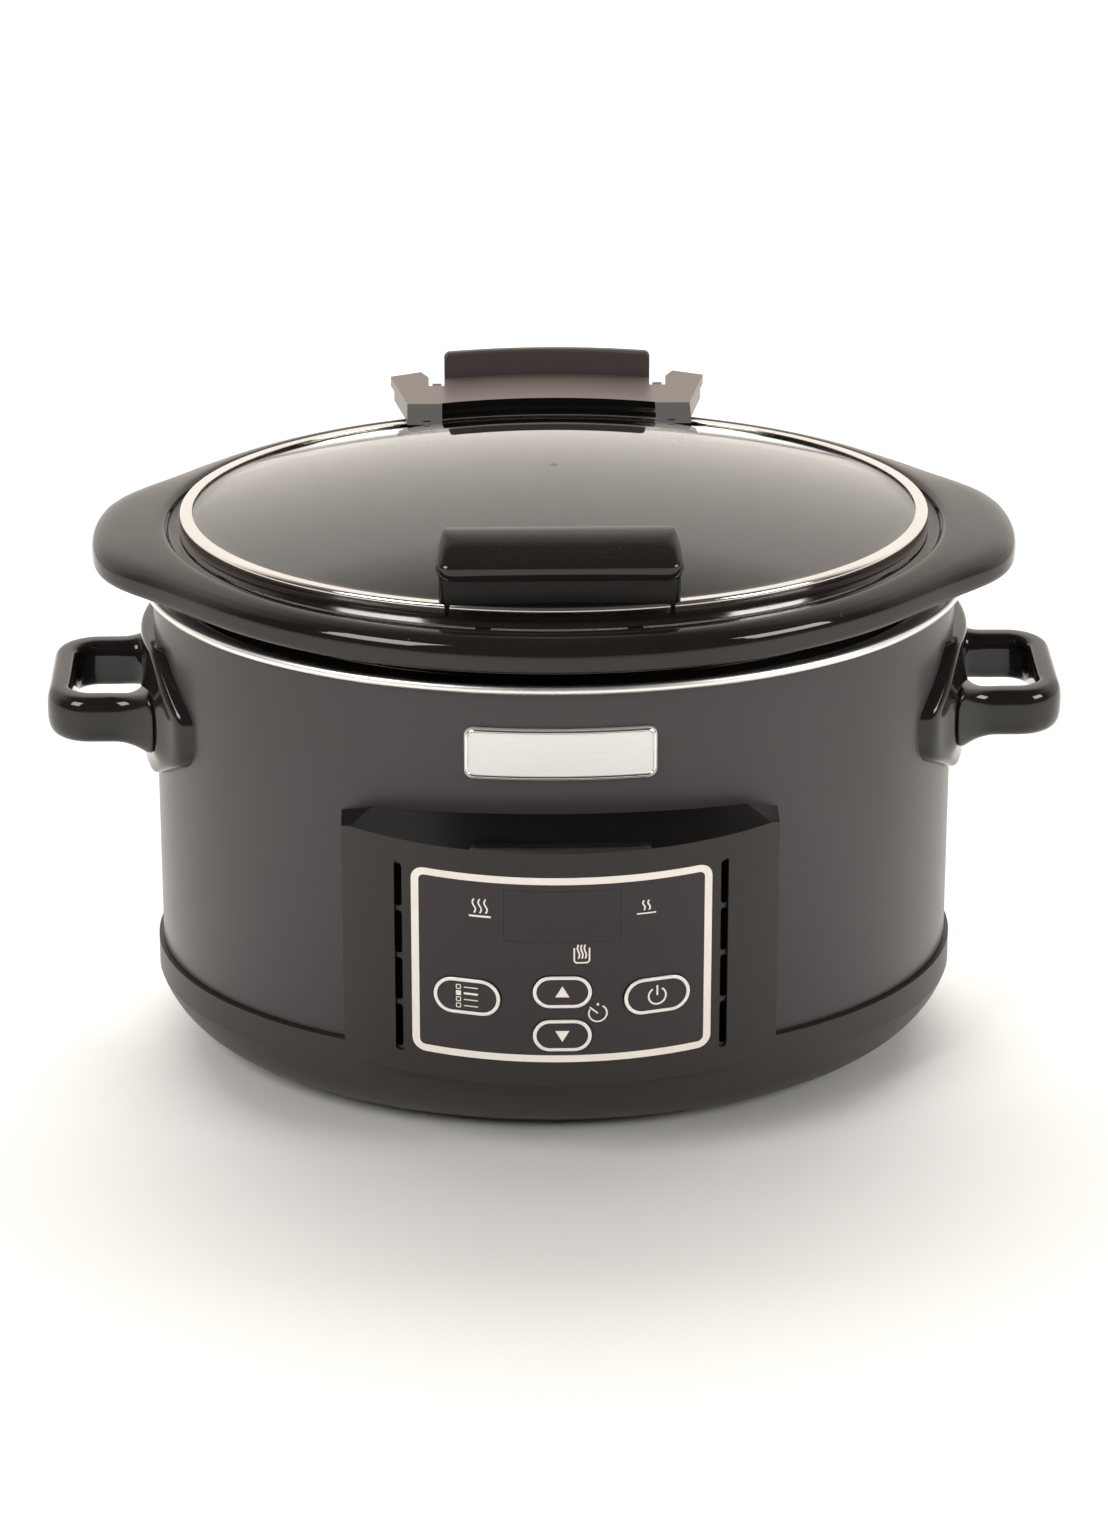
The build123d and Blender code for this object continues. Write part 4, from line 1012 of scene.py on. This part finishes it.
def handle(side):
    """Rounded loop that grows out of a plate wrapped round the shell."""
    node = "handle_right" if side > 0 else "handle_left"
    low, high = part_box(node)
    reach = max(abs(low.x), abs(high.x))
    half = 38 * MM
    bar_low, bar_high = 141 * MM, 161 * MM
    root = SHELL_A - 1 * MM
    outer = loop_outline(root, reach, half, 1 * MM, 18 * MM)
    inner = loop_outline(171.5 * MM, 199.7 * MM, 26 * MM, 6 * MM, 9 * MM)
    section = rounded([(0, 0), (1, 0), (1, 1), (0, 1)], [0.30, 0.42, 0.42, 0.34], 7)
    rows = []
    for share, level in section:
        row = []
        for (ox, oy), (ix, iy) in zip(outer, inner):
            flare = 1 + 0.13 * max(0, 1 - (ox - root - 3 * MM) / (14 * MM)) ** 2
            x = ix + (ox - ix) * share
            y = iy + (oy * flare - iy) * share
            spread = 2.5 * MM * max(0, 1 - (x - root - 4 * MM) / (12 * MM)) ** 2
            z = bar_low - spread + (bar_high - bar_low + 2 * spread) * level
            row.append((side * x, y, z))
        rows.append(row)
    rings(f"{node}_loop", rows, GLOSS_BLACK, "housing", [node], True)

    corners = [(-34, 182), (-58, 160), (-58, 140), (-32, 126), (32, 126), (58, 140), (58, 160), (34, 182)]
    outline = rounded(corners, [5, 9, 12, 8, 8, 12, 9, 5], 8)
    dense = []
    for i, point in enumerate(outline):
        after = Vector(outline[(i + 1) % len(outline)])
        here = Vector(point)
        parts = max(1, int((after - here).length / 2.5))
        dense += [tuple(here + (after - here) * k / parts) for k in range(parts)]
    centre = Vector((0, 152))

    def plate_row(share, out):
        """One row of points of the handle's flange, wrapped on the shell."""
        row = []
        for y, z in dense:
            point = centre + (Vector((y, z)) - centre) * share
            gap_y = max(abs(abs(point.x) - 34) - 6, 0)
            gap_z = max(abs(point.y - 151) - 7, 0)
            swell = ROOT_SWELL * exp(-(gap_y**2 + gap_z**2) / ROOT_SPREAD) if share < 0.97 else 0
            stand = (out + swell) * MM
            a, b = SHELL_A + stand, SHELL_B + stand
            yy = point.x * MM
            row.append((side * a * sqrt(1 - (yy / b) ** 2), yy, point.y * MM))
        return row

    plate = [plate_row(1.0, -0.3), plate_row(1.0, 3.4), plate_row(0.995, 4.4), plate_row(0.98, 5.1),
             plate_row(0.955, 5.45)]
    plate += [plate_row(share / 40, 5.5) for share in range(37, 0, -1)]
    rings(f"{node}_plate", plate, GLOSS_BLACK, "housing")


handle(-1)
handle(1)


# ================================================================ softened edges of the CAD pieces
def soften(node, width, angle=38):
    """Small rounded edge on a piece that keeps its CAD shape."""
    edge = frame["nodes"][node].modifiers.new("soft_edge", "BEVEL")
    edge.width = width
    edge.segments = 3
    edge.limit_method = "ANGLE"
    edge.angle_limit = radians(angle)
    edge.harden_normals = True


soften("hinge_carrier", 0.6 * MM)
soften("hinge_bracket", 0.5 * MM)
soften("knob_base", 0.5 * MM)
soften("panel_housing", 0.6 * MM)
soften("base_tray", 0.4 * MM)
for button in BUTTONS:
    soften(button, 0.2 * MM)


# ================================================================ floor, lights and camera
def studio():
    """Pale floor, soft boxes and a bright room, as for a catalogue picture."""
    floor = bpy.data.meshes.new("floor")
    reach = 12.0
    floor.from_pydata([(-reach, -reach, 0), (reach, -reach, 0), (reach, reach, 0), (-reach, reach, 0)],
                      [], [(0, 1, 2, 3)])
    ground = bpy.data.objects.new("floor", floor)
    bpy.context.scene.collection.objects.link(ground)
    f = Finish("white_floor", level=0.3)
    grain = f.group(GRAIN, Grain_Scale=400.0, Roughness=0.6, Roughness_Swing=0.05)
    floor.materials.append(f.done(f.tone((0.86, 0.855, 0.845), (0.87, 0.865, 0.857), 2.0, 0.5),
                                  grain.outputs["Roughness"]))

    room(bpy.data.worlds.new("room"))

    def softbox(name, place, aim, wide, tall, power, color=(1, 0.98, 0.95)):
        """Area light that looks at a point."""
        light = bpy.data.lights.new(name, "AREA")
        light.shape = "RECTANGLE"
        light.size = wide
        light.size_y = tall
        light.energy = power
        light.color = color
        lamp = bpy.data.objects.new(name, light)
        lamp.location = place
        lamp.rotation_euler = (Vector(aim) - Vector(place)).to_track_quat("-Z", "Y").to_euler()
        bpy.context.scene.collection.objects.link(lamp)
        return lamp

    softbox("softbox_left", (-1.5, -1.5, 1.7), (0, 0, 0.12), 1.0, 1.2, 35)
    softbox("softbox_right", (1.8, -1.2, 1.2), (0, 0, 0.12), 0.9, 0.8, 23)
    wash = softbox("floor_wash", (0.0, 2.4, 2.8), (0, 0.7, 0.0), 4.5, 2.6, 170)
    wash.visible_glossy = False
    wash.visible_transmission = False


def room(world):
    """White sweep behind the object, dark studio in front of it and above the lights."""
    bpy.context.scene.world = world
    world.use_nodes = True
    w = Wires(world.node_tree)
    way = w.add("ShaderNodeSeparateXYZ")
    w.join(w.add("ShaderNodeTexCoord").outputs["Generated"], way.inputs[0])
    behind = w.spread(way.outputs["Y"], -0.20, 0.30)
    under_ceiling = w.spread(way.outputs["Z"], 0.68, 0.90, 1.0, 0.0)
    mix = w.add("ShaderNodeMix", data_type="RGBA")
    w.join(w.maths("MULTIPLY", behind, under_ceiling), mix.inputs["Factor"])
    mix.inputs["A"].default_value = (0.085, 0.076, 0.070, 1)
    mix.inputs["B"].default_value = (1.20, 1.11, 1.02, 1)
    sky = world.node_tree.nodes["Background"]
    w.join(mix.outputs["Result"], sky.inputs["Color"])
    sky.inputs["Strength"].default_value = 1.0


studio()

# The lens looks down at the front from a little left of the middle.
CAMERA_TURN = radians(-1.2)
CAMERA_REACH = 1.969
CAMERA_HEIGHT = 0.954
CAMERA_PITCH = radians(23.08)

lens = bpy.data.cameras.new("camera")
lens.lens = 119.8
camera = bpy.data.objects.new("camera", lens)
camera.location = (CAMERA_REACH * sin(CAMERA_TURN), -CAMERA_REACH * cos(CAMERA_TURN), CAMERA_HEIGHT)
camera.rotation_euler = (pi / 2 - CAMERA_PITCH, 0, CAMERA_TURN)
bpy.context.scene.collection.objects.link(camera)
bpy.context.scene.camera = camera
bpy.context.scene.view_settings.view_transform = "Standard"
